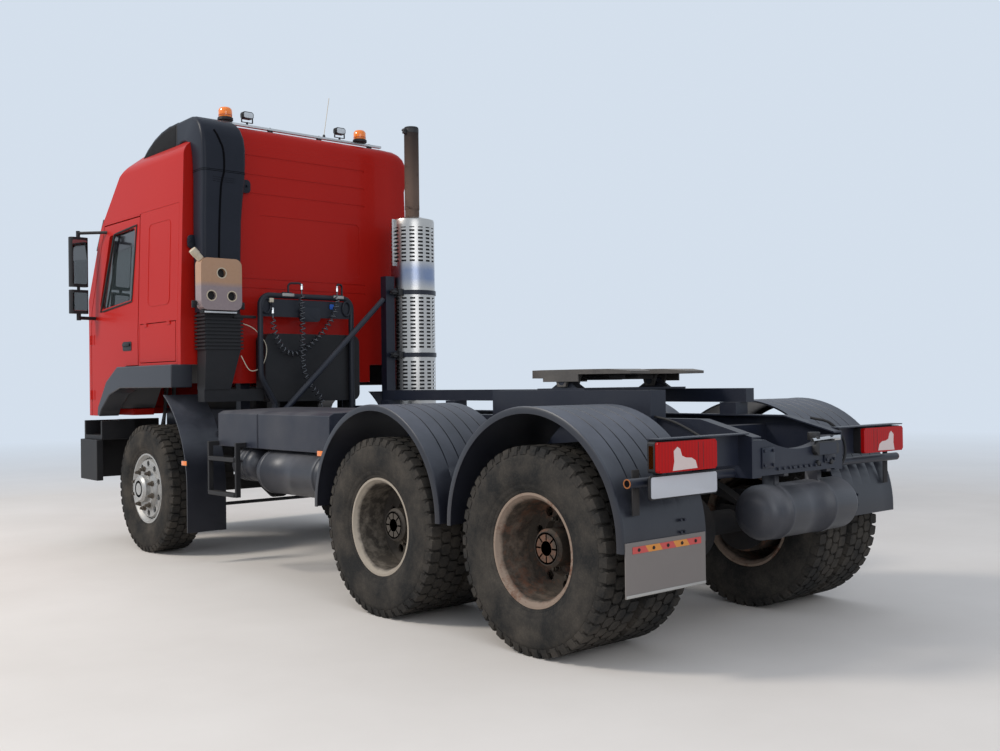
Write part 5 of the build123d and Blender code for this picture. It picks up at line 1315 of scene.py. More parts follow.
def build_flap_strip():
    """The reflecting strip on the flap, with its blocks of colour and screws."""
    low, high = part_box("rear_flap")
    face = high.y
    strip = {"tape_red": Shape(), "tape_yellow": Shape()}
    slant = 0.012
    pitch = (STRIP_OUT - STRIP_IN) / STRIP_BLOCKS
    for index in range(STRIP_BLOCKS):
        colour = "tape_red" if index % 2 == 0 else "tape_yellow"
        low_in, high_in = STRIP_IN + index * pitch, STRIP_IN + (index + 1) * pitch
        near = 0.0 if index == 0 else slant
        far = 0.0 if index == STRIP_BLOCKS - 1 else slant
        block = [(low_in - near, STRIP_LOW), (high_in - far, STRIP_LOW), (high_in + far, STRIP_HIGH),
                 (low_in + near, STRIP_HIGH)]
        strip[colour].prism(block, "y", face - 0.002, face + 0.0024)
    for colour, shape in strip.items():
        shape.piece("flap_" + colour, "chassis", "rubber", colour)
    screws = Shape()
    middle = (STRIP_LOW + STRIP_HIGH) / 2
    for index in range(5):
        x = STRIP_IN + 0.045 + (STRIP_OUT - STRIP_IN - 0.09) * index / 4
        screws.rod((x, face, middle), (x, face + 0.005, middle), 0.009, 16, bevel=0.001)
        screws.rod((x, face + 0.003, middle), (x, face + 0.009, middle), 0.005, 6)
    hem = Shape()
    hem.box((0.636, face - 0.001, low.z + 0.002), (1.236, face + 0.002, low.z + 0.016), 0.0008)
    hem.piece("flap_hem", "chassis", "rubber", "edge_pale")
    screws.piece("flap_screws", "chassis", "chassis", "cast_iron")


# Tail
LAMP_BACK = 5.763
LAMP_LOW, LAMP_HIGH = 0.985, 1.137
LAMP_IN, LAMP_OUT = 0.689, 1.140


def tail_lamp(sign, shapes):
    """One tail lamp: housing, lens, its pale window and the amber end."""
    x_low, x_high = span(sign, LAMP_IN, LAMP_OUT)
    outline = rounded((x_low, LAMP_LOW), (x_high, LAMP_HIGH), 0.014)
    shapes["black_plastic"].prism(outline, "y", station(LAMP_BACK - 0.0685), station(LAMP_BACK - 0.022),
                                  0.003)
    lens = rounded((x_low + 0.003, LAMP_LOW + 0.003), (x_high - 0.003, LAMP_HIGH - 0.003), 0.012)
    shapes["lamp_red"].prism(lens, "y", station(LAMP_BACK - 0.026), station(LAMP_BACK - 0.001), 0.006)
    # The pale reversing window, a slanted patch on the lens
    patch = [(0.998, 1.108), (0.977, 1.096), (0.964, 1.063), (0.935, 1.053), (0.892, 1.050), (0.862, 1.036),
             (0.847, 0.998), (1.034, 0.994), (1.022, 1.039), (1.026, 1.088)]
    patch = [(sign * x, z) for x, z in patch]
    shapes["lamp_pale"].prism(patch, "y", station(LAMP_BACK - 0.006), station(LAMP_BACK - 0.0002))
    low, high = span(sign, LAMP_OUT - 0.004, LAMP_OUT)
    shapes["lamp_amber"].box((low, station(LAMP_BACK - 0.060), LAMP_LOW + 0.02),
                             (high, station(LAMP_BACK - 0.030), LAMP_HIGH - 0.02), 0.001)
    for x in (0.800, 0.835):
        low, high = span(sign, x, x + 0.003)
        shapes["seal_rubber"].box((low, station(LAMP_BACK - 0.0045), LAMP_LOW + 0.012),
                                  (high, station(LAMP_BACK - 0.0004), LAMP_HIGH - 0.012))


def head_lamp(sign, shapes):
    """One headlamp in the bumper: bowl, two round lamps and their clear cover."""
    low, high = span(sign, 0.705, 0.995)
    front = station(-1.380)
    shapes["black_plastic"].prism(rounded((low, 0.705), (high, 0.875), 0.03), "y", front + 0.012,
                                  front + 0.048, 0.004)
    for x in (0.775, 0.915):
        bowl = [(0.016, 0.0), (0.012, 0.030), (0.004, 0.058), (0.0, 0.064), (0.010, 0.068), (0.022, 0.066),
                (0.022, 0.0)]
        shapes["bright_steel"].lathe(bowl, (sign * x, front + 0.002, 0.790), "y", 40)
        cover = [(0.0, 0.0), (0.003, 0.040), (0.008, 0.056), (0.014, 0.056), (0.014, 0.0)]
        shapes["lamp_clear"].lathe(cover, (sign * x, front, 0.790), "y", 32)


def build_lamps():
    """Tail lamps, headlamps, side markers and the plate under the left tail lamp."""
    names = ("black_plastic", "lamp_red", "lamp_pale", "lamp_amber", "seal_rubber", "bright_steel",
             "lamp_clear", "plate_white", "navy")
    shapes = {name: Shape() for name in names}
    for sign in (1, -1):
        tail_lamp(sign, shapes)
        head_lamp(sign, shapes)
        for x, back, z in ((1.196, 0.85, 0.81), (1.194, 2.90, 0.97)):
            base = spot(sign * x, back, z)
            shapes["lamp_amber"].box(base - Vector((0.008, 0.045, 0.018)),
                                     base + Vector((0.008, 0.045, 0.018)), 0.004)
            shapes["black_plastic"].box(base - Vector((0.012, 0.052, 0.024)),
                                        base + Vector((0.004, 0.052, 0.024)), 0.003)
    # Plate on its holder, hung from the left lamp's bracket
    plate = rounded((0.655, 0.866), (1.155, 0.968), 0.012)
    holder = rounded((0.648, 0.859), (1.162, 0.975), 0.012)
    shapes["plate_white"].prism(plate, "y", station(5.728), station(5.7315), 0.0012)
    shapes["black_plastic"].prism(holder, "y", station(5.716), station(5.7285), 0.003)
    for x in (0.735, 1.075):
        shapes["navy"].box((x - 0.02, station(5.706), 0.880), (x + 0.02, station(5.717), 1.010), 0.002)
        shapes["navy"].box((x - 0.02, station(5.688), 0.975), (x + 0.02, station(5.717), 0.984), 0.002)
    slots = {"plate_white": "chassis", "navy": "chassis"}
    for name, shape in shapes.items():
        replaced = ("lamps",) if name == "lamp_red" else ()
        shape.piece("lights_" + name, "chassis", slots.get(name, "lamp"), name, replaced)


def build_tail():
    """Tow coupling, crossbeam fittings and the air lines at the tail."""
    end = station(5.780)
    shape = Shape()
    # Jaw of the tow coupling and its pin housing
    shape.prism([(-0.335, 1.008), (-0.140, 1.008), (-0.120, 1.028), (-0.120, 1.062), (-0.150, 1.082),
                 (-0.320, 1.082), (-0.350, 1.060), (-0.350, 1.025)], "y", end + 0.0005, end + 0.0295, 0.004)
    for x in (-0.30, -0.17):
        for z in (0.965, 1.095):
            shape.rod((x, end - 0.002, z), (x, end + 0.014, z), 0.015, 6, bevel=0.001)
    shape.rod((-0.235, end - 0.06, 1.085), (-0.235, end - 0.06, 1.130), 0.035, 20, bevel=0.004)
    shape.piece("tow_coupling", "chassis", "chassis", "dark_steel")
    eye = Shape()
    eye.rod((-0.120, end + 0.004, 1.090), (-0.345, end + 0.004, 1.098), 0.011, 10)
    eye.box((-0.400, end - 0.02, 1.080), (-0.335, end + 0.010, 1.112), 0.006)
    eye.piece("tow_coupling_lever", "chassis", "chassis", "bright_steel")
    plate = Shape()
    plate.prism([(0.235, 0.962), (0.345, 0.962), (0.345, 1.072), (0.235, 1.072)], "y", end + 0.0004,
                end + 0.008, 0.003)
    for x in (0.252, 0.328):
        for z in (0.979, 1.055):
            plate.rod((x, end + 0.006, z), (x, end + 0.016, z), 0.009, 6)
    for index in range(6):
        x = -0.06 + index * 0.052
        plate.rod((x, end - 0.001, 0.955), (x, end + 0.010, 0.955), 0.009, 6)
    plate.mirrored()
    plate.piece("crossbeam_bolts", "chassis", "chassis", "navy")
    lines = Shape()
    right = smooth_line([spot(-0.47, 5.55, 1.20), spot(-0.50, 5.66, 1.17), spot(-0.52, 5.73, 1.08),
                         spot(-0.50, 5.75, 0.98), spot(-0.46, 5.73, 0.93), spot(-0.42, 5.66, 0.96)])
    lines.tube(right, 0.008, 10)
    left = smooth_line([spot(0.44, 5.10, 1.235), spot(0.46, 5.30, 1.20), spot(0.47, 5.50, 1.12),
                        spot(0.52, 5.64, 1.07), spot(0.66, 5.685, 1.06)])
    lines.tube(left, 0.007, 10)
    under = smooth_line([spot(-0.30, 5.55, 0.86), spot(-0.36, 5.62, 0.80), spot(-0.40, 5.70, 0.72),
                         spot(-0.52, 5.68, 0.62), spot(-0.60, 5.58, 0.60)])
    lines.tube(under, 0.009, 10)
    lines.piece("tail_air_lines", "chassis", "rubber", "rubber")
    rings, hole_shades = Shape(), Shape()
    for x, back, z in ((1.2405, 5.656, 0.940), (1.1505, 2.874, 0.760)):
        for sign in (-1, 1):
            rings.band(*span(sign, x, x + 0.0030), 0.0175, 0.0228, spot(0, back, z), "x", 32)
            # A thin near-black disc in each tube's end is painted shade inside the open tube.
            hole_shades.rod(spot(sign * x, back, z), spot(sign * (x + 0.0008), back, z), 0.0182, 24)
    rings.piece("guard_tube_ends", "chassis", "chassis", "orange_rust")
    hole_shades.piece("guard_tube_holes", "chassis", "chassis", "groove_black")


def build_tanks():
    dress("air_tanks", "dark_metal_tank", "tank", 0.0, smooth=50)
    dress("fuel_tank", "aluminium", "fuel", 0.004, smooth=40)
    dress("air_intake", "black_plastic", "rubber", 0.006)


def cast_tree(node):
    """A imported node's faces as a tree that rays are cast at."""
    mesh = frame["nodes"][node].data
    return BVHTree.FromPolygons([vert.co for vert in mesh.vertices],
                                [face.vertices[:] for face in mesh.polygons])


# The roof's crown across the truck, as (x, height); it ends under the duct
CROWN = ((0.720, 3.650), (0.300, 3.653), (-0.500, 3.653), (-0.900, 3.652), (-1.020, 3.646), (-1.080, 3.630),
         (-1.120, 3.602), (-1.145, 3.560), (-1.156, 3.500), (-1.1595, 3.430))
# A crown section from front to rear, as (back, drop below its height)
CROWN_LINE = ((-0.600, 0.330), (-0.200, 0.117), (0.020, 0.045), (0.250, 0.010), (0.450, 0.0), (0.615, 0.0),
              (0.662, 0.008), (0.696, 0.030), (0.714, 0.062), (0.7206, 0.110))


def build_crown():
    """The roof's squarer rear shoulder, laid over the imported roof."""
    tree = cast_tree("cab_roof")
    sections = []
    for x, height in CROWN:
        top, under = [], []
        for back, drop in CROWN_LINE:
            hit = tree.ray_cast(spot(x, back, 5.0), Vector((0, 0, -1)))[0]
            skin = hit.z if hit is not None else 3.330
            z = max(height - drop, 3.315)
            top.append(spot(x, back, z))
            under.append(spot(x, back - 0.012, min(z - 0.004, skin - 0.015)))
        sections.append([*top, *reversed(under)])
    shape = Shape()
    shape.loft(sections)
    shape.piece("roof_crown", "cab", "cab_red", "cab_red", smooth=40)


def build_creases():
    """Pressed beads on the quarter panels."""
    cast = skin_caster("cab_sides")
    for side in (1, -1):
        bead = Shape()
        outline = rounded((0.075, 2.120), (0.500, 2.830), 0.05)
        ring = [cast(side, station(y), z, 0.0002) for y, z in outline]
        ring = [point for point in ring if point is not None]
        if len(ring) > 12:
            bead.tube(ring, 0.0035, 8, closed=True)
        bead.piece("quarter_bead_" + ("left" if side > 0 else "right"), "cab", "cab_red", "cab_red")


BAR_LOW = 3.672
BAR_TOP = BAR_LOW + 0.020
BAR_BACK = 0.605
BEACON_BACK = 0.620
BEACON_FLUTES = 20
AERIAL_X = -0.305


def build_roof_bar():
    """The light bar on the roof, with amber beacons, work lamps and the aerial."""
    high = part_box("roof_bar")[1]
    bar = Shape()
    bar.box(spot(-0.930, 0.585, BAR_LOW), spot(0.740, 0.625, BAR_TOP - 0.004), 0.002)
    for back in (0.586, 0.614):
        bar.box(spot(-0.930, back, BAR_TOP - 0.006), spot(0.740, back + 0.010, BAR_TOP), 0.0015)
    bar.piece("roof_bar_rail", "cab", "aluminium", "aluminium", ("roof_bar",))
    black, amber, lens, core = Shape(), Shape(), Shape(), Shape()
    for x in (-0.800, -0.250, 0.250, 0.640):
        black.box(spot(x - 0.020, 0.588, 3.640), spot(x + 0.020, 0.622, BAR_LOW + 0.002), 0.003)
        black.rod(spot(x, BAR_BACK, BAR_TOP - 0.006), spot(x, BAR_BACK, BAR_TOP + 0.006), 0.009, 6)
    base, dome, top = BAR_TOP, BAR_TOP + 0.030, BAR_LOW + 0.138
    for x in (-0.687, 0.687):
        black.lathe([(base, 0.0), (base, 0.060), (base + 0.005, 0.066), (dome - 0.006, 0.065), (dome, 0.059),
                     (dome, 0.0)], spot(x, BEACON_BACK, 0), "z", 40)
        sections = []
        for z, radius in ((dome, 0.053), (dome + 0.004, 0.056), (dome + 0.060, 0.0565), (top - 0.014, 0.050),
                          (top - 0.005, 0.040), (top - 0.001, 0.022)):
            fluted_radii = [radius + 0.0012 * (step % 2) for step in range(BEACON_FLUTES * 2)]
            sections.append([spot(x + wide * math.cos(turn), BEACON_BACK + wide * math.sin(turn), z)
                             for wide, turn in zip(fluted_radii, turns(BEACON_FLUTES * 2))])
        amber.loft(sections)
        core.band(dome + 0.012, dome + 0.020, 0.0572, 0.0584, spot(x, BEACON_BACK, 0))
    for x in (-0.473, 0.473):
        black.prism(rounded((x - 0.050, BAR_TOP + 0.050), (x + 0.050, BAR_TOP + 0.110), 0.016), "y",
                    station(0.578), station(0.631), 0.004)
        for left, right, low, tall in ((-0.054, -0.050, 0.020, 0.085), (0.050, 0.054, 0.020, 0.085),
                                       (-0.054, 0.054, 0.018, 0.022)):
            black.box(spot(x + left, 0.596, BAR_TOP + low), spot(x + right, 0.614, BAR_TOP + tall), 0.001)
        black.rod(spot(x, BAR_BACK, BAR_TOP), spot(x, BAR_BACK, BAR_TOP + 0.024), 0.010, 12)
        lens.prism(rounded((x - 0.043, BAR_TOP + 0.057), (x + 0.043, BAR_TOP + 0.103), 0.012), "y",
                   station(0.628), station(0.6345), 0.002)
    black.rod(spot(AERIAL_X, BAR_BACK, BAR_TOP - 0.002), spot(AERIAL_X, BAR_BACK, BAR_LOW + 0.045), 0.016,
              far_radius=0.009)
    black.piece("roof_bar_mounts", "cab", "lamp", "black_plastic")
    amber.piece("beacon_domes", "cab", "lamp", "lamp_amber", smooth=50)
    core.piece("beacon_bands", "cab", "lamp", "lamp_core")
    lens.piece("work_lamp_lenses", "cab", "lamp", "lamp_clear")
    whip = Shape()
    whip.tube([spot(AERIAL_X, BAR_BACK, BAR_LOW + 0.040), spot(-0.335, BAR_BACK, 3.890),
               spot(-0.364, BAR_BACK, high.z - 0.002)], 0.003, 8)
    whip.piece("aerial_whip", "cab", "lamp", "wire_pale")


# The intake duct's stops: a point on the cab's skin and one on the duct's back, as (back, z), then its x span
DUCT_STOPS = (
    ((0.722, 2.035), (0.895, 2.035), (0.700, 1.045)), ((0.722, 2.500), (0.908, 2.500), (0.698, 1.048)),
    ((0.722, 2.800), (0.916, 2.800), (0.694, 1.050)), ((0.722, 2.980), (0.921, 2.980), (0.680, 1.048)),
    ((0.720, 3.120), (0.925, 3.120), (0.664, 1.046)), ((0.716, 3.280), (0.929, 3.280), (0.658, 1.048)),
    ((0.706, 3.370), (0.930, 3.400), (0.658, 1.052)), ((0.690, 3.420), (0.922, 3.490), (0.666, 1.056)),
    ((0.662, 3.448), (0.893, 3.566), (0.680, 1.058)), ((0.620, 3.462), (0.845, 3.616), (0.694, 1.056)),
    ((0.580, 3.470), (0.775, 3.650), (0.706, 1.052)), ((0.520, 3.470), (0.700, 3.664), (0.718, 1.046)),
    ((0.440, 3.440), (0.440, 3.664), (0.735, 1.040)),
)
DUCT_CORNER = 0.034


def duct_section(stop, grow=0.0):
    """A rounded section of the duct between the cab's skin and the duct's back."""
    inner, outer, (right, left) = stop
    depth = math.hypot(outer[0] - inner[0], outer[1] - inner[1])
    ring = []
    for a, b in rounded((right - grow, 0.0), (left + grow, depth + grow), DUCT_CORNER, 6):
        share = b / depth
        ring.append(spot(a, inner[0] + (outer[0] - inner[0]) * share,
                         inner[1] + (outer[1] - inner[1]) * share))
    return ring


def duct_skin(z):
    """How far back the duct's rear face lies at a height."""
    for (_, low, _), (_, high, _) in zip(DUCT_STOPS, DUCT_STOPS[1:]):
        if low[1] <= z <= high[1]:
            return low[0] + (high[0] - low[0]) * (z - low[1]) / (high[1] - low[1])
    return DUCT_STOPS[0][1][0]


def build_snorkel():
    """The intake duct, its ribbed screen, joint, seam and tabs."""
    shape = Shape()
    shape.loft([duct_section(stop) for stop in DUCT_STOPS])
    top = [(-0.290, 3.463), (-0.160, 3.533), (-0.020, 3.594), (0.120, 3.632), (0.280, 3.655), (0.450, 3.663)]
    screen = [*top, (0.450, 3.415), (-0.260, 3.425)]
    shape.prism([(station(y), z) for y, z in screen], "x", 0.765, 1.033, 0.010)
    shape.piece("snorkel_duct", "cab", "guard_plastic", "snorkel_plastic", ("snorkel",), smooth=48)
    mesh = Shape()
    inset = [(-0.265, 3.458), (-0.150, 3.520), (-0.020, 3.578), (0.120, 3.616), (0.280, 3.639),
             (0.425, 3.646), (0.425, 3.440), (-0.240, 3.440)]
    mesh.prism([(station(y), z) for y, z in inset], "x", 1.030, 1.0345)
    pitch = 0.017
    for index in range(int((0.42 + 0.24) / pitch)):
        y = -0.24 + pitch * (index + 0.5)
        for (y_low, z_low), (y_high, z_high) in zip(inset, inset[1:6]):
            if y_low <= y < y_high:
                high = z_low + (z_high - z_low) * (y - y_low) / (y_high - y_low)
                mesh.box(spot(1.033, y - 0.0035, 3.442), spot(1.040, y + 0.0035, high - 0.002), 0.001)
    mesh.piece("snorkel_screen", "cab", "guard_plastic", "mesh_black")
    seam = Shape()
    line = smooth_line([(0.940, 0, 3.530), (0.897, 0, 3.441), (0.868, 0, 3.358), (0.862, 0, 3.203),
                        (0.888, 0, 3.079), (0.901, 0, 2.819), (0.906, 0, 2.480), (0.906, 0, 2.060)], 6)
    seam.tube([spot(point.x, duct_skin(point.z) + 0.0006, point.z) for point in line], 0.0085, 10)
    joint = 3.197
    for stop in (((0.7185, joint - 0.006), (duct_skin(joint), joint - 0.006), (0.659, 1.047)),
                 ((0.7185, joint + 0.006), (duct_skin(joint), joint + 0.006), (0.659, 1.047))):
        seam.tube(duct_section(stop, 0.0006), 0.0022, 6, closed=True)
    seam.piece("snorkel_seams", "cab", "guard_plastic", "groove_black")
    tabs = Shape()
    # Each tab: x span, height and its bolt's x
    for low, high, z, bolt in ((0.530, 0.690, 3.130, 0.560), (1.020, 1.104, 2.621, 1.080)):
        tabs.prism(rounded((low, z - 0.060), (high, z + 0.052), 0.03), "y", station(0.742), station(0.758),
                   0.003)
        tabs.rod(spot(bolt, 0.752, z), spot(bolt, 0.772, z), 0.012, 6)
        tabs.rod(spot(bolt, 0.718, z), spot(bolt, 0.745, z), 0.016, 12)
    for index in range(3):
        z = 3.110 + 0.017 * index
        tabs.box(spot(0.760, duct_skin(z) - 0.004, z - 0.003), spot(0.960, duct_skin(z) + 0.004, z + 0.003),
                 0.0015)
    tabs.piece("snorkel_tabs", "cab", "guard_plastic", "snorkel_plastic")
    wire = Shape()
    pipe = [spot(0.720, 0.880, 1.960), spot(0.600, 0.930, 1.900), spot(0.500, 0.945, 1.760),
            spot(0.535, 0.940, 1.600), spot(0.640, 0.925, 1.555), spot(0.715, 0.905, 1.680)]
    wire.tube(smooth_line(pipe, 10), 0.004, 8)
    wire.piece("tank_pipe", "cab", "rubber", "wire_pale")


def skin_caster(node):
    """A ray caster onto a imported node, from outside towards the truck's middle line."""
    tree = cast_tree(node)

    def cast(side, y, z, lift=0.0):
        hit = tree.ray_cast(Vector((side * 3.0, y, z)), Vector((-side, 0, 0)))[0]
        return None if hit is None else Vector((hit.x + side * lift, y, z))

    return cast


def front_caster(node):
    """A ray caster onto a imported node, from before the truck towards its tail."""
    tree = cast_tree(node)

    def cast(x, z, lift=0.0):
        hit = tree.ray_cast(Vector((x, CAD_BOX[0][1] - 1.0, z)), Vector((0, 1, 0)))[0]
        return None if hit is None else Vector((x, hit.y - lift, z))

    return cast


WIPER_PIVOT = 0.42
WIPER_REACH = 0.24


def build_front():
    """The windscreen's rubber seal, and two wipers parked on the pane."""
    low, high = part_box("windscreen")
    pane = front_caster("windscreen")
    edge, wipers = Shape(), Shape()
    ring = []
    for x, z, step_x, step_z in ((-1, low.z, 1, 0), (1, low.z, 0, 1), (1, high.z, -1, 0),
                                 (-1, high.z, 0, -1)):
        for step in range(12):
            share = step / 12
            along = x + 2 * step_x * share
            height = z + (high.z - low.z) * step_z * share
            height = min(max(height, low.z + 0.008), high.z - 0.008)
            reach = abs(high.x) - 0.012
            point = None
            while point is None and reach > 0.7:
                point = pane(along * reach, height, 0.002)
                reach -= 0.006
            if point is not None:
                ring.append(point)
    edge.tube(ring, 0.010, 8, closed=True)
    for middle in (-WIPER_PIVOT, WIPER_PIVOT):
        foot = pane(middle, low.z + 0.030, 0.010)
        tip = pane(middle - WIPER_REACH, low.z + 0.115, 0.016)
        blade = [pane(middle - WIPER_REACH + offset, low.z + 0.115 + 0.16 * offset, 0.007)
                 for offset in (-WIPER_REACH, 0.0, WIPER_REACH)]
        if foot is None or tip is None or None in blade:
            raise RuntimeError("a wiper misses the windscreen")
        wipers.rod(foot, foot + Vector((0, -0.022, 0)), 0.016, 20, bevel=0.003)
        wipers.tube([foot + Vector((0, -0.016, 0)), (foot + tip) / 2 + Vector((0, -0.014, 0)), tip], 0.006, 8)
        wipers.tube(blade, 0.0055, 8)
    edge.piece("windscreen_seal", "cab", "rubber", "seal_rubber")
    wipers.piece("wipers", "cab", "rubber", "black_plastic")


# Corners of a door's window as (back, z), low rear first and then round by the front
WINDOW = ((-0.277, 2.203), (-0.956, 2.143), (-0.730, 2.810), (-0.200, 2.845))


def window_edge(grow, steps=10):
    """Points round the window, this far outside its edge."""
    middle = Vector((sum(y for y, z in WINDOW) / 4, sum(z for y, z in WINDOW) / 4))
    corners = []
    for y, z in WINDOW:
        away = (Vector((y, z)) - middle).normalized()
        corners.append(Vector((y, z)) + away * grow * 1.35)
    edge = []
    for start, end in zip(corners, [*corners[1:], corners[0]]):
        edge += [start.lerp(end, step / steps) for step in range(steps)]
    return edge


def build_cab_trim():
    """Window seals and films, handles and mirror glass, which go with the doors."""
    for side, name in ((1, "left"), (-1, "right")):
        seals, films, handles, glass = Shape(), Shape(), Shape(), Shape()
        door, pane = skin_caster("door_" + name), skin_caster("door_glass_" + name)
        ring = [door(side, station(point.x), point.y, 0.001) for point in window_edge(0.014)]
        ring = [point for point in ring if point is not None and abs(point.x) > 1.0]
        if len(ring) > 8:
            seals.tube(ring, 0.009, 8, closed=True)
        sections = []
        for step in range(9):
            share = step / 8
            y = station(-0.735 + (0.735 - 0.220) * share)
            top, bottom = 2.800 + 0.030 * share, 2.665 + 0.030 * share
            hits = [pane(side, y, z) for z in (top, bottom)]
            if all(hits):
                outside, inside = Vector((side * 0.002, 0, 0)), Vector((side * 0.0005, 0, 0))
                sections.append([hits[0] + outside, hits[1] + outside, hits[1] + inside, hits[0] + inside])
        if len(sections) > 2:
            films.loft(sections)
        grip = door(side, station(-0.365), 1.796, 0.0)
        low, high = span(side, abs(grip.x) - 0.004, abs(grip.x) + 0.003)
        handles.prism(rounded((station(-0.455), 1.752), (station(-0.262), 1.834), 0.018), "x", low, high,
                      0.001)
        low, high = span(side, abs(grip.x), abs(grip.x) + 0.016)
        handles.box((low, station(-0.440), 1.794), (high, station(-0.290), 1.818), 0.005)
        for z_low, z_high in ((2.395, 2.805), (2.145, 2.315)):
            low, high = span(side, 1.253, 1.387)
            glass.prism(rounded((low, z_low), (high, z_high), 0.018), "y", station(-1.0395), station(-1.0385))
        body = "door_" + name
        seals.piece(f"window_seal_{name}", body, "rubber", "seal_rubber")
        films.piece(f"window_film_{name}", body, "glass", "window_film")
        handles.piece(f"door_handle_{name}", body, "mirror", "black_plastic")
        glass.piece(f"mirror_glass_{name}", body, "glass", "mirror_glass")


def cushion(name, low, high, turn=None, pivot=None, channels=(), crown=0.030, look="seat_cloth"):
    """A padded form with a crowned top, sides pulled in between its corners, and sewn channels."""
    size = Vector(high) - Vector(low)
    middle = (Vector(high) + Vector(low)) / 2
    steps = 20
    part = bmesh.new()
    sheets = []
    for face in (1, -1):
        rows = []
        for i in range(steps + 1):
            row = []
            for j in range(steps + 1):
                u, v = 2 * i / steps - 1, 2 * j / steps - 1
                swell = math.sqrt(max(0.0, (1 - abs(u) ** 5) * (1 - abs(v) ** 5)))
                x = u * size.x / 2 * (1 - 0.035 * (1 - v * v))
                y = v * size.y / 2 * (1 - 0.035 * (1 - u * u))
                z = face * (size.z / 2 - crown + crown * swell)
                if face > 0:
                    z -= sum(0.010 * math.exp(-((v - line) / 0.05) ** 2) for line in channels) * swell
                row.append(part.verts.new((x, y, z)))
            rows.append(row)
        sheets.append(rows)
        for i in range(steps):
            for j in range(steps):
                part.faces.new((rows[i][j], rows[i + 1][j], rows[i + 1][j + 1], rows[i][j + 1]))
    rims = []
    for rows in sheets:
        there, back = range(steps), range(steps, 0, -1)
        rims.append([rows[i][0] for i in there] + [rows[steps][j] for j in there]
                    + [rows[i][steps] for i in back] + [rows[0][j] for j in back])
    waist = []
    for upper, lower in zip(*rims):
        spread = (upper.co + lower.co) / 2
        waist.append(part.verts.new((spread.x * 1.012, spread.y * 1.012, 0.0)))
    count = len(waist)
    for step in range(count):
        after = (step + 1) % count
        part.faces.new((rims[0][step], rims[0][after], waist[after], waist[step]))
        part.faces.new((waist[step], waist[after], rims[1][after], rims[1][step]))
    bmesh.ops.recalc_face_normals(part, faces=part.faces)
    mesh = mesh_from(part, name)
    where = Matrix.Translation(middle)
    if turn is not None:
        centre = Matrix.Translation(Vector(pivot))
        where = centre @ turn.to_4x4() @ centre.inverted() @ where
    mesh.transform(where)
    piece = place(name, mesh, "cab", "interior", look, (), 80)
    soft = piece.modifiers.new("Soft", "SUBSURF")
    soft.levels = 1
    soft.render_levels = 1


# How far the seats and the steering wheel stand from the middle line
SEAT_X = 0.620


def build_furniture():
    """Seats, bunk, dashboard and steering wheel inside the cab."""
    hard = Shape()
    dash = [(-1.198, 1.667), (-0.902, 1.667), (-0.902, 1.880), (-0.925, 1.930), (-0.975, 2.000),
            (-1.198, 2.008)]
    hard.prism([(station(y), z) for y, z in dash], "x", -1.050, 1.050, 0.010)
    for x in (-SEAT_X, SEAT_X):
        hard.box(spot(x - 0.168, -0.418, 1.668), spot(x + 0.168, -0.062, 1.790), 0.012)
    hard.box(spot(-1.080, 0.135, 1.668), spot(1.080, 0.650, 1.830), 0.012)
    hard.piece("cab_furniture", "cab", "interior", "trim_grey", ("cab_interior",))
    rim = Shape()
    lean = Matrix.Rotation(math.radians(-28), 3, "X")
    centre = spot(SEAT_X, -0.690, 2.060)
    ring = [centre + lean @ Vector((0.225 * math.cos(t), 0.225 * math.sin(t), 0)) for t in turns(48)]
    rim.tube(ring, 0.015, 10, closed=True)
    rim.rod(spot(SEAT_X, -0.930, 1.920), centre, 0.026, 16)
    rim.rod(centre, centre + lean @ Vector((0, 0, 0.018)), 0.060, 24, bevel=0.004)
    for angle in (0, 180, 270):
        t = math.radians(angle)
        rim.tube([centre, centre + lean @ Vector((0.222 * math.cos(t), 0.222 * math.sin(t), 0))], 0.011, 8)
    rim.piece("steering_wheel", "cab", "interior", "black_plastic")
    for side, name in ((1, "left"), (-1, "right")):
        x = side * SEAT_X
        cushion(f"seat_{name}_base", spot(x - 0.238, -0.478, 1.795), spot(x + 0.238, -0.030, 1.925),
                channels=(-0.55, 0.0, 0.55), crown=0.028)
        pivot = spot(x, -0.030, 1.930)
        lean_back = Matrix.Rotation(math.radians(82.5), 3, "X")
        cushion(f"seat_{name}_back", pivot + Vector((-0.225, 0.0, -0.045)),
                pivot + Vector((0.225, 0.560, 0.045)),
                turn=lean_back, pivot=pivot, channels=(-0.6, -0.1, 0.4), crown=0.022)
        cushion(f"seat_{name}_head", pivot + Vector((-0.130, 0.570, -0.040)),
                pivot + Vector((0.130, 0.685, 0.040)), turn=lean_back, pivot=pivot, crown=0.022)
    cushion("bunk_mattress", spot(-1.070, 0.140, 1.835), spot(1.070, 0.650, 2.012), channels=(-0.5, 0.0, 0.5),
            crown=0.030, look="bunk_cloth")


def build_cab():
    """Cab panels, doors and the pieces on them."""
    dress_all((
        ("cab_red", "cab_red", {"cab_back_wall": 0.010, "cab_roof": 0.012, "cab_sides": 0.005,
                                "cab_front": 0.005,
                                "door_left": 0.005, "door_right": 0.005, "locker_lid_left": 0.003,
                                "locker_lid_right": 0.003}),
        ("trim_grey", "interior", {"cab_floor": 0.004}),
        ("guard_plastic", "guard_plastic", {"arch_trims": 0.008}),
        ("black_plastic", "bumper_plastic", {"bumper": 0.012}),
        ("black_gloss", "bumper_plastic", {"visor": 0.004}),
        ("black_plastic", "mirror", {"mirror_left": 0.010, "mirror_right": 0.010}),
        ("window_glass", "glass", {"windscreen": 0.0, "door_glass_left": 0.0, "door_glass_right": 0.0}),
    ))
    build_crown()
    build_creases()


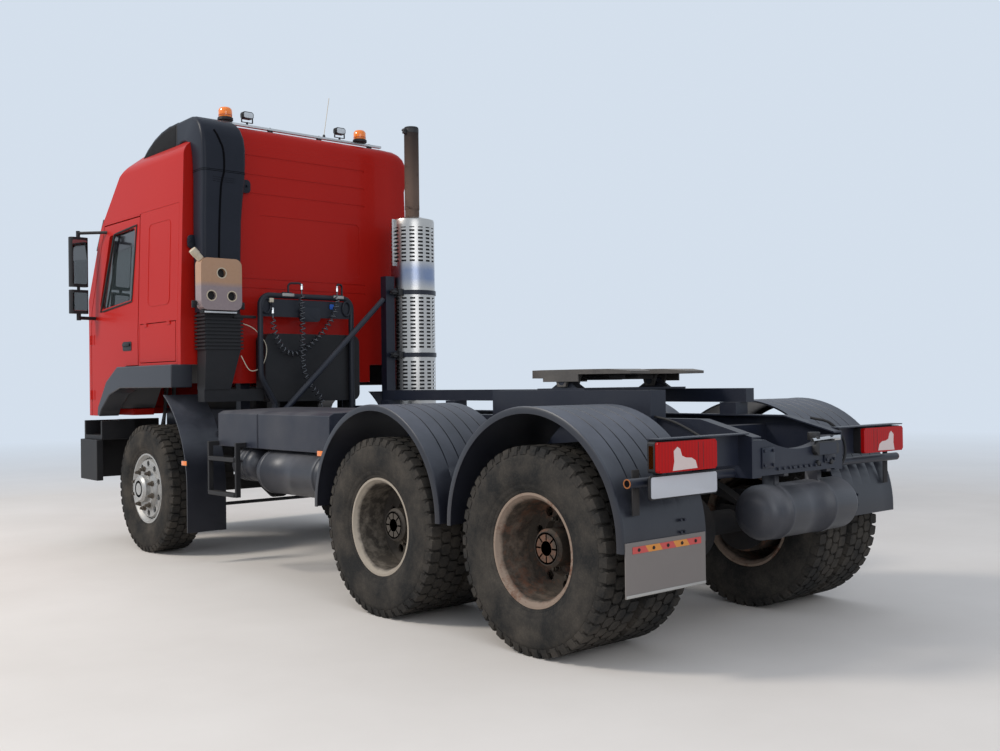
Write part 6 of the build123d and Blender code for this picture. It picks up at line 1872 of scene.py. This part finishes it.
def build_stage(sizes):
    """Floor, lights and world, which aren't part of the truck."""
    floor = bmesh.new()
    bmesh.ops.create_grid(floor, x_segments=2, y_segments=2, size=60)
    ground = linked("floor", mesh_from(floor, "floor"))
    ground.data.materials.append(floor_finish())
    scene = bpy.context.scene
    scene.view_settings.view_transform = "Standard"
    world = bpy.data.worlds.new("Studio")
    scene.world = world
    world.use_nodes = True
    world.node_tree.nodes.clear()
    g = Graph(world.node_tree)
    ray = g.node("ShaderNodeLightPath").outputs
    mirrored = g.math("MAXIMUM", ray["Is Glossy Ray"], ray["Is Transmission Ray"])
    seen = g.math("MAXIMUM", ray["Is Camera Ray"], mirrored)
    soft = g.node("ShaderNodeBackground", Color=(0.80, 0.88, 1.0, 1), Strength=sizes.sky_light)
    backdrop = g.node("ShaderNodeBackground", Color=BACKDROP, Strength=1.0)
    both = g.node("ShaderNodeMixShader", i0=seen, i1=soft.outputs[0], i2=backdrop.outputs[0])
    g.node("ShaderNodeOutputWorld", Surface=both.outputs[0])
    # Each lamp: name, strength in watts, size, place, aim and colour
    for name, power, size, where, aim, colour in (
        ("key", sizes.key_light, 3.0, (10.5, -4.5, 10.5), (0, 0.0, 1.0), (1.0, 0.95, 0.88)),
        ("fill", sizes.key_light * 0.28, 8.0, (5.0, 12.0, 5.0), (0, 1.0, 1.5), (0.95, 0.97, 1.0)),
    ):
        data = bpy.data.lights.new(name, "AREA")
        data.energy = power
        data.size = size
        data.color = colour
        lamp = linked(name, data)
        lamp.location = where
        lamp.rotation_euler = (Vector(aim) - Vector(where)).to_track_quat("-Z", "Y").to_euler()


# Settings, operators and the panel
def length_setting(name, description, default, low, high):
    return bpy.props.FloatProperty(name=name, description=description, default=default, min=low, max=high,
                                   unit="LENGTH")


def count_setting(name, description, default, low, high):
    return bpy.props.IntProperty(name=name, description=description, default=default, min=low, max=high)


def strength_setting(name, description, default, high):
    return bpy.props.FloatProperty(name=name, description=description, default=default, min=0.0, max=high)


def colour_setting(name, description, default):
    return bpy.props.FloatVectorProperty(name=name, description=description, default=default, subtype="COLOR",
                                         size=3, min=0.0, max=1.0)


class TRUCK_PG_sizes(bpy.types.PropertyGroup):
    """Sizes and colours that a user may change before the finish is made."""

    hose_wire: length_setting("Hose Thickness", "Diameter of the curly hoses' tube", 0.011, 0.004, 0.02)
    hose_pitch: length_setting("Coil Pitch", "Distance between two turns of a curly hose", 0.045, 0.02, 0.1)
    tread_blocks: count_setting("Tread Blocks", "Blocks in one row round a tyre", 46, 20, 80)
    wheel_nuts: count_setting("Wheel Nuts", "Nuts that hold one wheel", 10, 6, 12)
    guard_slots: count_setting("Guard Slots", "Slots in one row round the silencer guard", 16, 10, 40)
    guard_row: length_setting("Slot Spacing", "Height from one row of slots to the next", 0.034, 0.015, 0.08)
    guard_grooves: count_setting("Guard Grooves", "Grooves that run along one mudguard", 5, 2, 9)
    sky_light: strength_setting("Sky Light", "Strength of the light from all round", 0.75, 3.0)
    key_light: strength_setting("Key Light", "Power of the largest lamp in watts", 1300.0, 5000.0)
    cab_paint: colour_setting("Cab Paint", "Paint of the cab's panels, doors and lids", (0.39, 0.010, 0.006))
    chassis_paint: colour_setting("Chassis Paint", "Paint of the frame and what is bolted to it",
                          (0.009, 0.012, 0.023))
    rim_paint: colour_setting("Rim Paint", "Paint of the front rims", (0.44, 0.44, 0.43))


class TRUCK_OT_camera(bpy.types.Operator):
    """Places the camera at the photograph's angle"""

    bl_idname = "truck.camera"
    bl_label = "Camera"

    def execute(self, context):
        build_camera()
        return {"FINISHED"}


class TRUCK_OT_hoses(bpy.types.Operator):
    """Coils the two air hoses behind the cab"""

    bl_idname = "truck.hoses"
    bl_label = "Curly Hoses"

    def execute(self, context):
        build_hoses(context.scene.truck_sizes)
        return {"FINISHED"}


class TRUCK_OT_tyres(bpy.types.Operator):
    """Makes the ten block tread tyres"""

    bl_idname = "truck.tyres"
    bl_label = "Tyres"

    def execute(self, context):
        build_tyres(context.scene.truck_sizes)
        return {"FINISHED"}


class TRUCK_OT_rims(bpy.types.Operator):
    """Finishes the rims, nuts and hubs"""

    bl_idname = "truck.rims"
    bl_label = "Rims"

    def execute(self, context):
        build_rims(context.scene.truck_sizes)
        return {"FINISHED"}


class TRUCK_OT_exhaust(bpy.types.Operator):
    """Makes the silencer guard and the stack"""

    bl_idname = "truck.exhaust"
    bl_label = "Exhaust"

    def execute(self, context):
        build_exhaust(context.scene.truck_sizes)
        return {"FINISHED"}


class TRUCK_OT_tank(bpy.types.Operator):
    """Finishes the expansion tank"""

    bl_idname = "truck.tank"
    bl_label = "Expansion Tank"

    def execute(self, context):
        build_tank()
        return {"FINISHED"}


class TRUCK_OT_chassis(bpy.types.Operator):
    """Finishes the frame, the axles and what is bolted to them"""

    bl_idname = "truck.chassis"
    bl_label = "Chassis"

    def execute(self, context):
        build_chassis()
        return {"FINISHED"}


class TRUCK_OT_guards(bpy.types.Operator):
    """Finishes the mudguards and the flap"""

    bl_idname = "truck.guards"
    bl_label = "Mudguards"

    def execute(self, context):
        build_guards(context.scene.truck_sizes)
        return {"FINISHED"}


class TRUCK_OT_lamps(bpy.types.Operator):
    """Makes the lamps and the blank plate"""

    bl_idname = "truck.lamps"
    bl_label = "Lamps"

    def execute(self, context):
        build_lamps()
        return {"FINISHED"}


class TRUCK_OT_tail(bpy.types.Operator):
    """Makes the fittings at the tail"""

    bl_idname = "truck.tail"
    bl_label = "Tail Fittings"

    def execute(self, context):
        build_tail()
        return {"FINISHED"}


class TRUCK_OT_tanks(bpy.types.Operator):
    """Finishes the air and fuel tanks"""

    bl_idname = "truck.tanks"
    bl_label = "Tanks"

    def execute(self, context):
        build_tanks()
        return {"FINISHED"}


class TRUCK_OT_cab(bpy.types.Operator):
    """Finishes the cab"""

    bl_idname = "truck.cab"
    bl_label = "Cab"

    def execute(self, context):
        build_cab()
        return {"FINISHED"}


class TRUCK_OT_roof(bpy.types.Operator):
    """Makes the roof bar, its lamps and beacons and the aerial"""

    bl_idname = "truck.roof"
    bl_label = "Roof Bar"

    def execute(self, context):
        build_roof_bar()
        return {"FINISHED"}


class TRUCK_OT_intake(bpy.types.Operator):
    """Makes the raised air intake with its screen"""

    bl_idname = "truck.intake"
    bl_label = "Air Intake"

    def execute(self, context):
        build_snorkel()
        return {"FINISHED"}


class TRUCK_OT_front(bpy.types.Operator):
    """Makes the windscreen's seal and the wipers"""

    bl_idname = "truck.front"
    bl_label = "Cab Front"

    def execute(self, context):
        build_front()
        return {"FINISHED"}


class TRUCK_OT_trim(bpy.types.Operator):
    """Makes the window seals, door handles and mirror glasses"""

    bl_idname = "truck.trim"
    bl_label = "Cab Trim"

    def execute(self, context):
        build_cab_trim()
        return {"FINISHED"}


class TRUCK_OT_furniture(bpy.types.Operator):
    """Makes the seats, the bunk and the dashboard"""

    bl_idname = "truck.furniture"
    bl_label = "Cab Furniture"

    def execute(self, context):
        build_furniture()
        return {"FINISHED"}


class TRUCK_OT_stage(bpy.types.Operator):
    """Makes the floor, the lamps and the world"""

    bl_idname = "truck.stage"
    bl_label = "Stage"

    def execute(self, context):
        build_stage(context.scene.truck_sizes)
        return {"FINISHED"}


STEPS = (TRUCK_OT_camera, TRUCK_OT_hoses, TRUCK_OT_tyres, TRUCK_OT_rims, TRUCK_OT_exhaust, TRUCK_OT_tank,
         TRUCK_OT_chassis, TRUCK_OT_guards, TRUCK_OT_lamps, TRUCK_OT_tail, TRUCK_OT_tanks, TRUCK_OT_cab,
         TRUCK_OT_roof, TRUCK_OT_intake, TRUCK_OT_front, TRUCK_OT_trim, TRUCK_OT_furniture, TRUCK_OT_stage)


class TRUCK_PT_panel(bpy.types.Panel):
    """Lists the sizes and the steps in the sidebar"""

    bl_idname = "TRUCK_PT_panel"
    bl_label = "Tractor Unit"
    bl_space_type = "VIEW_3D"
    bl_region_type = "UI"
    bl_category = "Tractor Unit"

    def draw(self, context):
        sizes = context.scene.truck_sizes
        for name in TRUCK_PG_sizes.__annotations__:
            self.layout.prop(sizes, name)
        for step in STEPS:
            self.layout.operator(step.bl_idname)


CLASSES = (TRUCK_PG_sizes, *STEPS, TRUCK_PT_panel)


def register():
    for item in CLASSES:
        bpy.utils.register_class(item)
    bpy.types.Scene.truck_sizes = bpy.props.PointerProperty(type=TRUCK_PG_sizes)


def unregister():
    del bpy.types.Scene.truck_sizes
    for item in reversed(CLASSES):
        bpy.utils.unregister_class(item)


def main():
    register()
    for step in STEPS:
        getattr(bpy.ops.truck, step.bl_idname.split(".")[1])()


if __name__ == "__main__":
    main()
